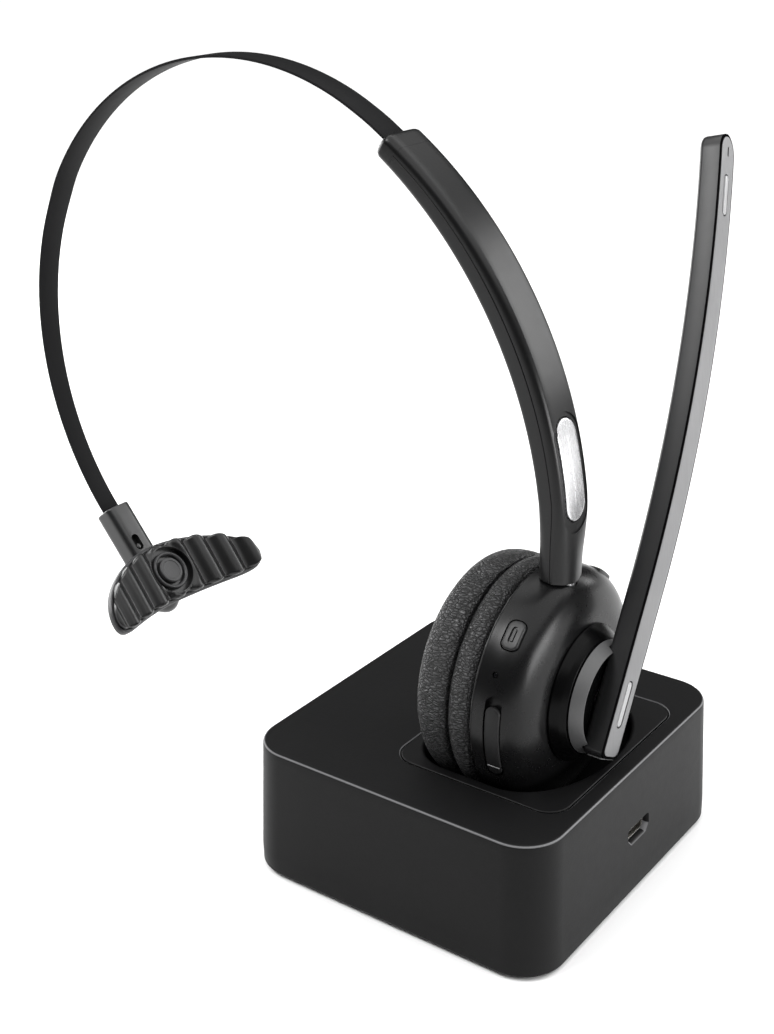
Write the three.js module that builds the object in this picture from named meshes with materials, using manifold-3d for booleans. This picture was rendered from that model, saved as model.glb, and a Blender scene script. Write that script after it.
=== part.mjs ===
// Single-ear wireless office headset standing in its desktop charging dock.
// Millimetres, +Z up. The origin is the middle of the dock's footprint on the table.
// The dock's socket side faces +X, the ear cup's axis is parallel to X, the headband arches towards -X.
import * as THREE from 'three';
import { mergeVertices } from 'three/addons/utils/BufferGeometryUtils.js';
import Module from 'manifold-3d';

const wasm = await Module();
wasm.setup();

// ---------------------------------------------------------------- driving dimensions
const DOCK_TOP = [84.0, 88.9];        // dock outline at its top face, X and Y
const DOCK_BASE = [86.5, 91.4];       // dock outline at the table
const DOCK_H = 35.5;                  // top face above the table
const DOCK_R = 10.5;                  // vertical corner radius
const DOCK_WALL = 2.2;
const PAD_T = 0.8;                    // rubber base pad
const PLATE_T = 2.0;                  // base plate
const CRADLE_C = [14.3, 0.4];         // centre of the charging cradle's flush plate
const CRADLE = [46.2, 58.8, 5.9];     // its outline and corner radius
const WELL = [-6.5, 35.3, 25.9, 11];  // well: low x, high x, half width, corner radius
const WELL_MID = 18.0, WELL_POWER = 2.1;   // where the rounded end starts, and its superellipse power
const PORT_Y = 1.5, PORT_Z = 17.2;    // dock power socket
const PIN_X = 17.5, PIN_Y = 4.0;      // charging pins

const ZC = 51.07;                     // ear cup axis above the table
const CUP_R = 29.65;                  // ear cup radius
const HOUSING = [                     // ear cup casing, outside: x, radius
  [14.0, 29.2], [14.5, 29.6], [17.0, 29.65], [19.3, 29.5], [21.4, 29.0], [23.3, 27.8],
  [24.9, 25.9], [26.1, 23.2], [26.8, 20.3], [27.0, 17.2]];
const POWER = { x: 19.6, phi: -43, w: 4.2, l: 7.3 };
const LED = { x: 18.7, phi: -62.2, r: 0.6 };
const FLAP = { x: 19.7, phi: -94.5, w: 3.7, half: 9.3, crease: -107.6 };
const ROCKER = { x: 20.0, phi: 39, w: 4.2, l: 8.2 };

const BOOM_TILT = 29;                 // boom leans this far from +Z towards +Y
const BOOM_W = 9.2, BOOM_T = 5.6, BOOM_FACE = 38.1, BOOM_TIP = 138.4, BOOM_FOOT = -13.3;
const BOOM_BEND = 0.00109;           // inward sweep past BOOM_STRAIGHT: x = face - k (r - straight)^2
const BOOM_STRAIGHT = 27.3;
const PLATE_SKIN = 1.0;               // light face plate of the boom

const STEM_X = 20.6;                  // axis on which the arm swivels in the ear cup
const ARM_C = [-87.2, 87.1];          // arc centre of the arm, x and z
const ARM_W = 13.4;
const BAND_R = 108.8;                 // radius on which the steel band slides in the arm
const BAND_T = 0.7;

const JOINT = [-115.3, 42.5];         // ball joint of the temple pad, x and z
const HOLDER_TILT = -Math.asin(0.62); // holder leans in the XZ plane

const D = Math.PI / 180;
const SEG = 28;

// ---------------------------------------------------------------- geometry helpers
const V3 = (x, y, z) => new THREE.Vector3(x, y, z);

// drop everything but position, weld, remove slivers and make the faces point out
function tidy(geometry) {
  const g = geometry.index ? geometry.toNonIndexed() : geometry.clone();
  for (const name of Object.keys(g.attributes)) if (name !== 'position') g.deleteAttribute(name);
  const m = mergeVertices(g, 1e-5);
  const pos = m.attributes.position.array;
  const src = m.index.array;
  const tri = [];
  let volume = 0;
  for (let i = 0; i < src.length; i += 3) {
    const [a, b, c] = [src[i], src[i + 1], src[i + 2]];
    if (a === b || b === c || c === a) continue;
    tri.push(a, b, c);
    const A = V3(...pos.slice(3 * a, 3 * a + 3)), B = V3(...pos.slice(3 * b, 3 * b + 3)), C = V3(...pos.slice(3 * c, 3 * c + 3));
    volume += A.dot(B.cross(C));
  }
  if (volume < 0) for (let i = 0; i < tri.length; i += 3) [tri[i + 1], tri[i + 2]] = [tri[i + 2], tri[i + 1]];
  const out = new THREE.BufferGeometry();
  out.setAttribute('position', new THREE.BufferAttribute(new Float32Array(pos), 3));
  out.setIndex(tri);
  return out;
}

function solid(geometry) {
  const g = tidy(geometry);
  return new wasm.Manifold(new wasm.Mesh({
    numProp: 3,
    vertProperties: new Float32Array(g.attributes.position.array),
    triVerts: new Uint32Array(g.index.array),
  }));
}

function geometryOf(manifold) {
  const mesh = manifold.getMesh();
  const g = new THREE.BufferGeometry();
  g.setAttribute('position', new THREE.BufferAttribute(new Float32Array(mesh.vertProperties), 3));
  g.setIndex(Array.from(mesh.triVerts));
  return g;
}

const cut = (body, ...tools) => tools.reduce((s, t) => s.subtract(t), body);
const join = (body, ...others) => others.reduce((s, t) => s.add(t), body);

// revolve [x, radius] points about the X axis at height z
function latheX(points, z = 0, seg = SEG) {
  const g = new THREE.LatheGeometry(points.map(([x, r]) => new THREE.Vector2(r, x)), seg);
  g.rotateZ(-Math.PI / 2);
  g.translate(0, 0, z);
  return g;
}
// revolve [radius, z] points about a vertical axis
function latheZ(points, x = 0, y = 0, seg = 16) {
  const g = new THREE.LatheGeometry(points.map(([r, z]) => new THREE.Vector2(r, z)), seg);
  g.rotateX(Math.PI / 2);
  g.translate(x, y, 0);
  return g;
}
const ring = (x0, x1, r0, r1) => [[x0, r0], [x0, r1], [x1, r1], [x1, r0], [x0, r0]];
const disc = (x0, x1, r) => [[x0, 0], [x0, r], [x1, r], [x1, 0]];

function rrect(w, h, r, cx = 0, cy = 0) {
  const s = new THREE.Shape();
  const x = cx - w / 2, y = cy - h / 2;
  s.moveTo(x + r, y);
  s.lineTo(x + w - r, y);
  s.absarc(x + w - r, y + r, r, -Math.PI / 2, 0, false);
  s.lineTo(x + w, y + h - r);
  s.absarc(x + w - r, y + h - r, r, 0, Math.PI / 2, false);
  s.lineTo(x + r, y + h);
  s.absarc(x + r, y + h - r, r, Math.PI / 2, Math.PI, false);
  s.lineTo(x, y + r);
  s.absarc(x + r, y + r, r, Math.PI, 1.5 * Math.PI, false);
  return s;
}
function slab(shape, z0, z1, seg = 3) {
  const g = new THREE.ExtrudeGeometry(shape, { depth: z1 - z0, bevelEnabled: false, curveSegments: seg });
  g.translate(0, 0, z0);
  return g;
}
function box(x0, x1, y0, y1, z0, z1) {
  const g = new THREE.BoxGeometry(x1 - x0, y1 - y0, z1 - z0);
  g.translate((x0 + x1) / 2, (y0 + y1) / 2, (z0 + z1) / 2);
  return g;
}
function polygon(points) {
  return new THREE.Shape(points.map(([x, y]) => new THREE.Vector2(x, y)));
}
// corner arcs of a section: centre, radius, start and end angle in degrees
function arc(cx, cy, r, a0, a1, n) {
  const out = [];
  for (let i = 0; i <= n; i++) {
    const a = (a0 + (a1 - a0) * i / n) * D;
    out.push([cx + r * Math.cos(a), cy + r * Math.sin(a)]);
  }
  return out;
}
// skin a row of equal point rings into one closed body
function loft(rings, section) {
  const n = rings[0].length, pos = [], idx = [];
  for (const r of rings) for (const p of r) pos.push(p.x, p.y, p.z);
  for (let k = 0; k + 1 < rings.length; k++) for (let i = 0; i < n; i++) {
    const a = k * n + i, b = k * n + (i + 1) % n, c = a + n, d = b + n;
    idx.push(a, b, d, a, d, c);
  }
  const flat = section.map(([x, y]) => new THREE.Vector2(x, y));
  const faces = THREE.ShapeUtils.triangulateShape(flat, []);
  const last = (rings.length - 1) * n;
  for (const [a, b, c] of faces) { idx.push(c, b, a); idx.push(last + a, last + b, last + c); }
  const g = new THREE.BufferGeometry();
  g.setAttribute('position', new THREE.Float32BufferAttribute(pos, 3));
  g.setIndex(idx);
  return g;
}
// place a piece drawn with local +Z outwards on the ear cup at x and angle phi from +Z towards +Y
function onCup(geometry, x, phi) {
  const g = geometry.clone();
  g.rotateX(-phi * D);
  g.translate(x, 0, ZC);
  return g;
}
const cylX = (x0, x1, r, seg = 64) => latheX(disc(x0, x1, r), ZC, seg);

const root = new THREE.Group();
function add(group, name, geometry, color, roughness = 0.6, metalness = 0) {
  const g = geometry instanceof THREE.BufferGeometry ? tidy(geometry) : geometryOf(geometry);
  const mesh = new THREE.Mesh(g, new THREE.MeshStandardMaterial({ color, roughness, metalness }));
  mesh.name = name;
  group.add(mesh);
  return mesh;
}

const BLACK = 0x1c1c1d, SATIN = 0x232324, GLOSS = 0x0b0b0c, RUBBER = 0x171718, LEATHER = 0x262627;
const GREY = 0x7d7e80, LIGHT = 0xa9aaac, STEEL = 0x9a9c9f, GOLD = 0xc8a24a, BOARD = 0x1f4a33;

// ================================================================ charging dock
const dock = new THREE.Group();
root.add(dock);

function outline(w, h, r, z, n = 4) {
  const pts = [];
  for (const [sx, sy, a0] of [[1, -1, -90], [1, 1, 0], [-1, 1, 90], [-1, -1, 180]])
    for (const [x, y] of arc(sx * (w / 2 - r), sy * (h / 2 - r), r, a0, a0 + 90, n)) pts.push(V3(x, y, z));
  return pts;
}
function block(levels) {
  const rings = levels.map(([w, h, r, z]) => outline(w, h, r, z));
  return loft(rings, rings[0].map((p) => [p.x, p.y]));
}
const dockAt = (z) => [0, 1].map((i) => DOCK_BASE[i] + (DOCK_TOP[i] - DOCK_BASE[i]) * z / DOCK_H);
const lvl = (z, inset, r) => [dockAt(z)[0] - 2 * inset, dockAt(z)[1] - 2 * inset, r, z];

const BOSS = [[34, 36.5], [-34, 36.5], [34, -36.5], [-34, -36.5]];
let shell = solid(block([lvl(PAD_T + 0.6, 0, DOCK_R + 0.6), lvl(DOCK_H - 0.5, 0, DOCK_R), lvl(DOCK_H, 0.5, DOCK_R - 0.5)]));
shell = join(shell, solid(block([lvl(PAD_T, 0.5, DOCK_R + 0.1), lvl(PAD_T + 0.6, 0, DOCK_R + 0.6)])));
shell = cut(shell, solid(block([lvl(PAD_T - 1, DOCK_WALL, DOCK_R - 1.6), lvl(DOCK_H - 2.2, DOCK_WALL, DOCK_R - 1.6)])));
for (const [x, y] of BOSS)
  shell = join(shell, solid(latheZ([[0, 4.2], [3.2, 4.2], [3.2, DOCK_H - 1.5], [0, DOCK_H - 1.5]], x, y, 8)));
for (const [x, y] of BOSS)
  shell = cut(shell, solid(latheZ([[0, 3], [1.5, 3], [1.5, 16], [0, 16]], x, y, 8)));
shell = cut(shell, solid(slab(rrect(CRADLE[0] + 0.6, CRADLE[1] + 0.6, CRADLE[2] + 0.3, ...CRADLE_C), 30, 40)));
// trapezoid mouth of the power socket in the +X wall
const mouth = polygon([[-3.3, -2.05], [3.3, -2.05], [4.9, -0.5], [4.9, 2.05], [-4.9, 2.05], [-4.9, -0.5]]);
function alongX(shape, x0, x1, y, z) {
  const g = new THREE.ExtrudeGeometry(shape, { depth: x1 - x0, bevelEnabled: false, curveSegments: 3 });
  // shape x -> Y, shape y -> Z, depth -> X
  g.applyMatrix4(new THREE.Matrix4().set(0, 0, 1, x0, 1, 0, 0, y, 0, 1, 0, z, 0, 0, 0, 1));
  return g;
}
shell = cut(shell, solid(alongX(mouth, 38, 48, PORT_Y, PORT_Z)));
add(dock, 'dock_shell', shell, 0x2a2a2b, 0.55);

// cradle: flush plate with a curved well that follows the ear cup
// square-cornered behind the cushion, elliptical towards the power socket
function wellPoints(o) {
  const pts = [], a = WELL[1] - WELL_MID + o, b = WELL[2] + o, r = WELL[3] + o;
  for (let k = 0; k <= 16; k++) {
    const t = (-90 + 180 * k / 16) * Math.PI / 180, c = Math.abs(Math.cos(t)), s = Math.sin(t);
    pts.push([WELL_MID + a * (c < 1e-9 ? 0 : c) ** (2 / WELL_POWER), Math.sign(s) * b * Math.abs(s) ** (2 / WELL_POWER)]);
  }
  for (const side of [1, -1])
    for (let k = 0; k <= 5; k++) {
      const t = (side > 0 ? 90 + 18 * k : 180 + 18 * k) * Math.PI / 180;
      pts.push([WELL[0] + WELL[3] + r * Math.cos(t), side * (WELL[2] - WELL[3]) + r * Math.sin(t)]);
    }
  return pts;
}
const wellShape = (o) => polygon(wellPoints(o));
const wellBody = (o, top) => solid(slab(wellShape(o), 5, top)).intersect(solid(cylX(WELL[0] - o - 1, WELL[1] + o + 1, 30.3 + o, 48)));
let cradle = solid(slab(rrect(...CRADLE, ...CRADLE_C), DOCK_H - 2.0, DOCK_H));
cradle = join(cradle, wellBody(1.5, DOCK_H - 1.0));
for (const y of [-11, 11]) cradle = join(cradle, solid(latheZ([[0, 15.8], [1.6, 15.8], [1.6, 24], [0, 24]], 6, y, 8)));
cradle = cut(cradle, wellBody(0, DOCK_H + 1));
cradle = cut(cradle, solid(loft([
  wellPoints(-0.1).map(([x, y]) => V3(x, y, DOCK_H - 0.8)),
  wellPoints(0.9).map(([x, y]) => V3(x, y, DOCK_H + 0.2))],
wellPoints(0))));
for (const s of [-1, 1]) cradle = cut(cradle, solid(latheZ([[0, 14], [1.9, 14], [1.9, 26], [0, 26]], PIN_X, s * PIN_Y, 10)));
add(dock, 'dock_cradle', cradle, 0x202021, 0.5);

const plateTop = PAD_T + PLATE_T;
let basePlate = solid(block([lvl(PAD_T, DOCK_WALL + 0.3, DOCK_R - 2), lvl(plateTop, DOCK_WALL + 0.3, DOCK_R - 2)]));
for (const [x, y] of BOSS) {
  basePlate = join(basePlate, solid(latheZ([[0, 1.5], [3.4, 1.5], [3.4, 4.0], [0, 4.0]], x, y, 10)));
  basePlate = cut(basePlate, solid(latheZ([[0, 0], [2.9, 0], [2.9, 2.1], [1.5, 2.1], [1.5, 5], [0, 5]], x, y, 10)));
}
add(dock, 'dock_base_plate', basePlate, BLACK, 0.7);
add(dock, 'dock_base_pad', slab(rrect(74, 79, 8), 0, PAD_T), RUBBER, 0.9);
add(dock, 'dock_ballast', slab(rrect(56, 62, 3), plateTop, plateTop + 3.2), STEEL, 0.5, 0.9);
BOSS.forEach(([x, y], i) => add(dock, `dock_screw_${i + 1}`,
  latheZ([[0, 0.9], [2.4, 0.9], [2.4, 1.9], [1.1, 1.95], [1.1, 11], [0, 11.6]], x, y, 8), STEEL, 0.35, 1));

let board = solid(slab(rrect(29.5, 28, 1, 25, 1.5), 14.2, 15.8));
add(dock, 'dock_pcb', board, BOARD, 0.6);
let port = solid(alongX(rrect(7.6, 2.7, 0.5), 36.9, 41.6, PORT_Y, 17.2));
port = cut(port, solid(alongX(rrect(7.0, 2.1, 0.3), 37.5, 42, PORT_Y, 17.2)));
port = join(port, solid(box(37.2, 41.0, PORT_Y - 2.4, PORT_Y + 2.4, 17.15, 17.75)));
add(dock, 'dock_usb_socket', port, STEEL, 0.35, 1);
for (const [s, side] of [[-1, 'near'], [1, 'far']]) {
  add(dock, `pin_barrel_${side}`, latheZ([[0, 15.8], [1.5, 15.8], [1.5, 20.7], [1.0, 20.7], [1.0, 16.2], [0, 16.2]], PIN_X, s * PIN_Y, 10), GOLD, 0.3, 1);
  add(dock, `charge_pin_${side}`, latheZ([[0, 17.4], [0.86, 17.4], [0.86, 21.1], [0.6, 21.42], [0, 21.5]], PIN_X, s * PIN_Y, 10), GOLD, 0.25, 1);
}

// ================================================================ ear cup
const cup = new THREE.Group();
root.add(cup);

// round cushion: bulging front, open middle, flat back that sits in the skirt
add(cup, 'ear_cushion', latheX([
  [11.0, 15.4], [-0.3, 15.2], [-3.3, 16.4], [-4.9, 19.0], [-5.2, 21.6], [-4.8, 24.3], [-3.2, 26.8], [-0.9, 28.5],
  [2.2, 29.2], [4.6, 29.0], [6.5, 28.0], [6.5, 24.5], [11.0, 24.5], [11.0, 15.4]], ZC, 32), LEATHER, 0.7);
add(cup, 'cushion_skirt', latheX([
  [7.0, 24.9], [7.0, 28.3], [8.1, 29.2], [10.2, 29.65], [12.4, 29.45], [13.3, 29.1], [13.3, 24.9], [7.0, 24.9]], ZC, 32), LEATHER, 0.7);
add(cup, 'speaker_cloth', latheX(disc(11.3, 11.8, 24.2), ZC, 24), 0x111112, 0.95);
add(cup, 'speaker_baffle', latheX([[12.0, 6.5], [12.0, 24.5], [13.5, 24.5], [13.5, 28.7], [13.9, 28.7], [13.9, 6.5], [12.0, 6.5]], ZC), BLACK, 0.7);
add(cup, 'speaker_driver', latheX([[14.1, 0], [14.1, 14.8], [15.2, 14.8], [16.2, 10.5], [16.2, 0]], ZC, 20), 0x3a3a3c, 0.5, 0.3);
add(cup, 'speaker_magnet', latheX([[16.4, 0], [16.4, 7.6], [19.6, 7.6], [19.6, 0]], ZC, 16), STEEL, 0.4, 1);

const inner = [[25.2, 5.7], [25.2, 17.0], [23.9, 22.6], [21.6, 26.2], [18.6, 27.6], [14.0, 27.8]];
let housing = solid(latheX([...HOUSING, [27.0, 5.7], ...inner, HOUSING[0]], ZC, 40));
const capsule = (w, half) => rrect(w, 2 * half, w / 2 - 0.01);
const radial = (shape, r0, r1, x, phi, seg = 3) => onCup(slab(shape, r0, r1, seg), x, phi);
housing = cut(housing,
  solid(radial(rrect(POWER.w + 0.5, POWER.l + 0.5, 1.8), 24, 32, POWER.x, POWER.phi)),
  solid(radial(rrect(ROCKER.w + 0.6, ROCKER.l + 1.0, 2.2), 24, 33, ROCKER.x, ROCKER.phi)),
  solid(onCup(latheZ([[0, 24], [LED.r + 0.15, 24], [LED.r + 0.15, 32], [0, 32]], 0, 0, 10), LED.x, LED.phi)),
  solid(latheZ([[0, 66], [3.4, 66], [3.4, 84], [0, 84]], STEM_X, 0, 16)),
  solid(radial(capsule(FLAP.w + 0.5, FLAP.half + 0.5), 20, 34, FLAP.x, FLAP.phi)).subtract(solid(cylX(10, 30, 28.35))),
  solid(radial(rrect(3.3, 8.4, 0.8), 20, 30, FLAP.x, -92)));
// finger notch above the flap
housing = cut(housing, solid(radial(capsule(FLAP.w + 0.5, 2.6), 20, 34, FLAP.x, FLAP.phi + 17.6)).subtract(solid(cylX(10, 30, 28.35))));
for (const s of [-1, 1])
  housing = cut(housing, solid(latheZ([[0, 18], [2.15, 18], [2.15, 26], [0, 26]], PIN_X, s * PIN_Y, 10)));
add(cup, 'cup_housing', housing, SATIN, 0.42);

add(cup, 'bezel_ring', latheX([[27.0, 5.7], [27.0, 17.1], [27.5, 17.1], [30.6, 14.4], [30.6, 5.7], [27.0, 5.7]], ZC, 36), GLOSS, 0.12);
add(cup, 'pivot_bush', latheX(ring(25.0, 30.5, 4.2, 5.4), ZC, 20), 0xb08d4a, 0.4, 0.9);
for (const [s, side] of [[-1, 'near'], [1, 'far']])
  add(cup, `charge_contact_${side}`, latheZ([[0, 21.85], [1.5, 21.85], [1.85, 22.1], [1.85, 23.6], [0, 23.6]], PIN_X, s * PIN_Y, 10), GOLD, 0.3, 1);
add(cup, 'led_lens', onCup(latheZ([[0, 27.2], [LED.r, 27.2], [LED.r, 29.3], [0, 29.4]], 0, 0, 10), LED.x, LED.phi), 0x2a2b30, 0.2);
add(cup, 'battery', box(15.2, 19.6, -11, 11, 27.6, 35.2), 0x4b5560, 0.5, 0.2);
let mainBoard = solid(latheX(ring(21.2, 22.3, 5.6, 21.6), ZC, 24));
mainBoard = cut(mainBoard, solid(box(18, 26, -5.6, 5.6, ZC + 4, ZC + 30)));
add(cup, 'main_pcb', mainBoard, BOARD, 0.6);
let cupPort = solid(radial(rrect(2.7, 7.6, 0.5), 22.0, 27.6, FLAP.x - 0.05, -92, 2));
cupPort = cut(cupPort, solid(radial(rrect(2.1, 7.0, 0.3), 22.8, 29, FLAP.x - 0.05, -92, 1)));
cupPort = join(cupPort, solid(onCup(box(-0.3, 0.3, -2.4, 2.4, 22.5, 27.0), FLAP.x + 0.2, -92)));
add(cup, 'cup_usb_socket', cupPort, STEEL, 0.35, 1);
add(cup, 'power_switch', onCup(box(-1.6, 1.6, -1.9, 1.9, 23.6, 25.6), 19.2, POWER.phi), 0x303234, 0.5);
add(cup, 'stem_bush', latheZ([[3.12, 60.5], [4.1, 60.5], [4.1, 66], [3.12, 66], [3.12, 60.5]], STEM_X, 0, 16), 0xb08d4a, 0.4, 0.9);

// power key with a recessed bar
let power = solid(radial(rrect(POWER.w, POWER.l, 1.6), 26.3, 33, POWER.x, POWER.phi, 4)).intersect(solid(cylX(10, 30, 29.7)));
power = cut(power, solid(radial(capsule(1.2, 1.9), 29.35, 33, POWER.x, POWER.phi)));
add(cup, 'power_button', power, SATIN, 0.45);
let rocker = solid(radial(rrect(ROCKER.w, ROCKER.l, 1.9), 26.3, 33, ROCKER.x, ROCKER.phi, 4)).intersect(solid(cylX(10, 30, 29.7)));
rocker = cut(rocker, solid(onCup(latheZ([[0, 29.4], [0.6, 29.4], [0.6, 33], [0, 33]], 0, 0, 8), ROCKER.x, ROCKER.phi)));
add(cup, 'volume_rocker', rocker, SATIN, 0.45);

// rubber cover of the cup's socket, with its anchored tab below the crease
const flapSkin = solid(cylX(10, 30, 29.5)).subtract(solid(cylX(9, 31, 28.6)));
const flapAll = solid(radial(capsule(FLAP.w, FLAP.half), 20, 34, FLAP.x, FLAP.phi)).intersect(flapSkin);
const above = (phi) => solid(onCup(box(-8, 8, 0.15, 40, 10, 40), FLAP.x, phi));   // towards the notch
const below = (phi) => solid(onCup(box(-8, 8, -40, -0.15, 10, 40), FLAP.x, phi));
let flap = flapAll.intersect(above(FLAP.crease));
flap = join(flap, solid(radial(rrect(1.9, 5.6, 0.6), 27.75, 28.9, FLAP.x, -91.4)));
add(cup, 'usb_flap', flap, RUBBER, 0.8);
add(cup, 'flap_tab', flapAll.intersect(below(FLAP.crease)), RUBBER, 0.8);

// ================================================================ microphone boom
const boom = new THREE.Group();
boom.position.set(0, 0, ZC);
boom.rotation.x = -BOOM_TILT * D;
root.add(boom);

// side view of a layer between depths a and b below the outer face, from r0 to r1
const faceX = (r) => BOOM_FACE - (r > BOOM_STRAIGHT ? BOOM_BEND * (r - BOOM_STRAIGHT) ** 2 : 0);
function layer(a, b, r0, r1, width, steps = 12) {
  const pts = [];
  const at = (r, d) => {
    const slope = r > BOOM_STRAIGHT ? -2 * BOOM_BEND * (r - BOOM_STRAIGHT) : 0;
    const l = Math.hypot(1, slope);
    return [faceX(r) - d / l, r + d * slope / l];
  };
  const rs = [r0];
  for (let i = 0; i <= steps; i++) {
    const r = BOOM_STRAIGHT + (r1 - BOOM_STRAIGHT) * i / steps;
    if (r > r0) rs.push(r);
  }
  for (const r of rs) pts.push(at(r, a));
  for (const r of rs.reverse()) pts.push(at(r, b));
  const g = new THREE.ExtrudeGeometry(polygon(pts), { depth: width, bevelEnabled: false });
  // shape x -> X, shape y -> Z, depth -> Y
  g.applyMatrix4(new THREE.Matrix4().set(1, 0, 0, 0, 0, 0, -1, width / 2, 0, 1, 0, 0, 0, 0, 0, 1));
  return g;
}
// face view: round tip, small corner radii at the foot
function faceOutline(w, foot, tip, rf) {
  const h = w / 2, pts = [];
  pts.push(...arc(-h + rf, foot + rf, rf, 180, 270, 2), ...arc(h - rf, foot + rf, rf, 270, 360, 2));
  pts.push(...arc(0, tip - h, h, 0, 180, 10));
  const g = new THREE.ExtrudeGeometry(polygon(pts), { depth: 40, bevelEnabled: false });
  g.applyMatrix4(new THREE.Matrix4().set(0, 0, 1, 12, 1, 0, 0, 0, 0, 1, 0, 0, 0, 0, 0, 1));
  return g;
}
const pillX = (w, half, r, x0, x1) => {
  const g = slab(capsule(w, half), x0, x1, 3);
  g.applyMatrix4(new THREE.Matrix4().set(0, 0, 1, 0, 1, 0, 0, 0, 0, 1, 0, r, 0, 0, 0, 1));
  return g;
};
const MUTE_HALF = 5.5, MUTE_W = 2.2, PILL_R = 123.6, PILL_HALF = 4.9;
const faceSolid = (inset) => solid(faceOutline(BOOM_W - 2 * inset, BOOM_FOOT + inset, BOOM_TIP - inset, 1.9));
let face = solid(layer(0, PLATE_SKIN, BOOM_FOOT - 1, BOOM_TIP + 1, 20)).intersect(faceSolid(0));
face = join(face, solid(box(33.0, BOOM_FACE - 0.4, -BOOM_W / 2 + 1.9, BOOM_W / 2 - 1.9, BOOM_FOOT, BOOM_FOOT + 0.7)));
const pillDepth = faceX(PILL_R);
const tiltPill = Math.atan(2 * BOOM_BEND * (PILL_R - BOOM_STRAIGHT));
function pillUpper(w, half, d0, d1) {
  const g = slab(capsule(w, half), -d1, -d0, 3);
  g.applyMatrix4(new THREE.Matrix4().set(0, 0, 1, 0, 1, 0, 0, 0, 0, 1, 0, 0, 0, 0, 0, 1));
  g.rotateY(-tiltPill);
  g.translate(pillDepth, 0, PILL_R);
  return g;
}
face = cut(face, solid(pillX(MUTE_W + 0.5, MUTE_HALF + 0.25, 0, 30, 45)),
  solid(pillUpper(MUTE_W + 0.5, PILL_HALF + 0.25, -3, 0.6)));
const micR = 134.2;
face = cut(face, solid(pillX(0.7, 1.1, micR, 15, 45)));
add(boom, 'boom_face', face, LIGHT, 0.35, 0.5);
let body = solid(layer(PLATE_SKIN + 0.05, BOOM_T, BOOM_FOOT - 1, BOOM_TIP + 1, 20)).intersect(faceSolid(0.05));
body = cut(body, solid(box(30, 40, -10, 10, BOOM_FOOT - 2, BOOM_FOOT + 0.9)),
  solid(pillX(MUTE_W + 0.5, MUTE_HALF + 0.25, 0, 35.0, 45)),
  solid(latheX(disc(21.7, 40, 2.35), 0, 14).translate(0, 0, micR - 1.6)));
add(boom, 'boom_body', body, 0x3b3b3c, 0.5, 0.1);
add(boom, 'mute_button', pillX(MUTE_W, MUTE_HALF, 0, 35.7, 38.3), GREY, 0.4, 0.4);
add(boom, 'boom_inlay', pillUpper(MUTE_W, PILL_HALF, -0.45, 0.5), GREY, 0.4, 0.4);
add(boom, 'mic_capsule', latheX(disc(21.9, 23.7, 2.0), 0, 14).translate(0, 0, micR - 1.6), STEEL, 0.4, 0.8);
// hub that turns with the boom
let trim = solid(latheX([[30.9, 11.9], [30.9, 14.1], [33.7, 12.15], [33.8, 11.9], [30.9, 11.9]], 0, 32));
trim = cut(trim, solid(box(32.3, 40, -BOOM_W / 2 - 0.3, BOOM_W / 2 + 0.3, -20, 20)));
add(boom, 'hub_trim_ring', trim, GREY, 0.35, 0.5);
add(boom, 'hub_disc', latheX([[31.0, 4.3], [31.0, 11.7], [31.8, 11.7], [32.3, 10.4], [32.3, 4.3], [31.0, 4.3]], 0, 24), GLOSS, 0.3);
let shaft = solid(latheX(disc(24.95, 32.3, 4.05), 0, 20));
shaft = cut(shaft, solid(latheX(disc(24, 30, 1.5), 0, 12)));
add(boom, 'boom_shaft', shaft, STEEL, 0.35, 1);
add(boom, 'friction_washer', latheX(ring(24.35, 24.75, 1.7, 5.9), 0, 16), STEEL, 0.4, 1);
add(boom, 'shaft_screw', latheX([[22.7, 0], [22.7, 2.6], [24.1, 2.6], [24.1, 1.3], [28.5, 1.3], [29.0, 0]], 0, 10), STEEL, 0.35, 1);

// ================================================================ headband arm
const arm = new THREE.Group();
root.add(arm);
const ARM_R = 111.3;                  // outer face
const rIn = (deg) => 104.65 + 0.0009 * (deg - 22) ** 2;
// stations along the arm: outer point, inward direction, thickness, depth of the sliding surface
function station(deg) {
  const a = deg * D, o = ARM_R;
  return { p: [ARM_C[0] + o * Math.cos(a), ARM_C[1] + o * Math.sin(a)], n: [-Math.cos(a), -Math.sin(a)], T: o - rIn(deg), b: o - BAND_R, w: ARM_W / 2, ro: 1.7, ri: 1.1 };
}
const TIP = 55.6, CAP = 52.9;
const stations = [];
for (let d = CAP; d >= 7; d -= 4.1) stations.push(station(d));
stations.push({ p: [23.85, 94.5], n: [-1, 0], T: 6.8, b: 2.9, w: 6.65, ro: 2.2, ri: 1.9 },
  { p: [23.95, 89.5], n: [-1, 0], T: 7.15, b: 3.25, w: 6.5, ro: 2.8, ri: 2.7 },
  { p: [23.95, 84], n: [-1, 0], T: 7.4, b: 3.4, w: 6.35, ro: 3, ri: 3 },
  { p: [23.95, 70], n: [-1, 0], T: 7.5, b: 3.4, w: 6.3, ro: 3, ri: 3 });
function armSection(st, half) {
  const { T, b, w: W2, ro, ri } = st;
  if (half === 'outer') {
    const m = b - 0.1;
    return [[-W2, m], ...arc(-W2 + ro, ro, ro, 180, 270, 3), ...arc(W2 - ro, ro, ro, 270, 360, 3), [W2, m],
      [4.7, m], [4.7, m - 0.6], [-4.7, m - 0.6], [-4.7, m]];
  }
  if (half === 'inner') {
    const m = b + 0.1;
    return [[W2, m], ...arc(W2 - ri, T - ri, ri, 0, 90, 3), ...arc(-W2 + ri, T - ri, ri, 90, 180, 3), [-W2, m],
      [-4.7, m], [-4.7, m + 0.6], [4.7, m + 0.6], [4.7, m]];
  }
  return [...arc(-W2 + ro, ro, ro, 180, 270, 3), ...arc(W2 - ro, ro, ro, 270, 360, 3),
    ...arc(W2 - ri, T - ri, ri, 0, 90, 3), ...arc(-W2 + ri, T - ri, ri, 90, 180, 3)];
}
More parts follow.
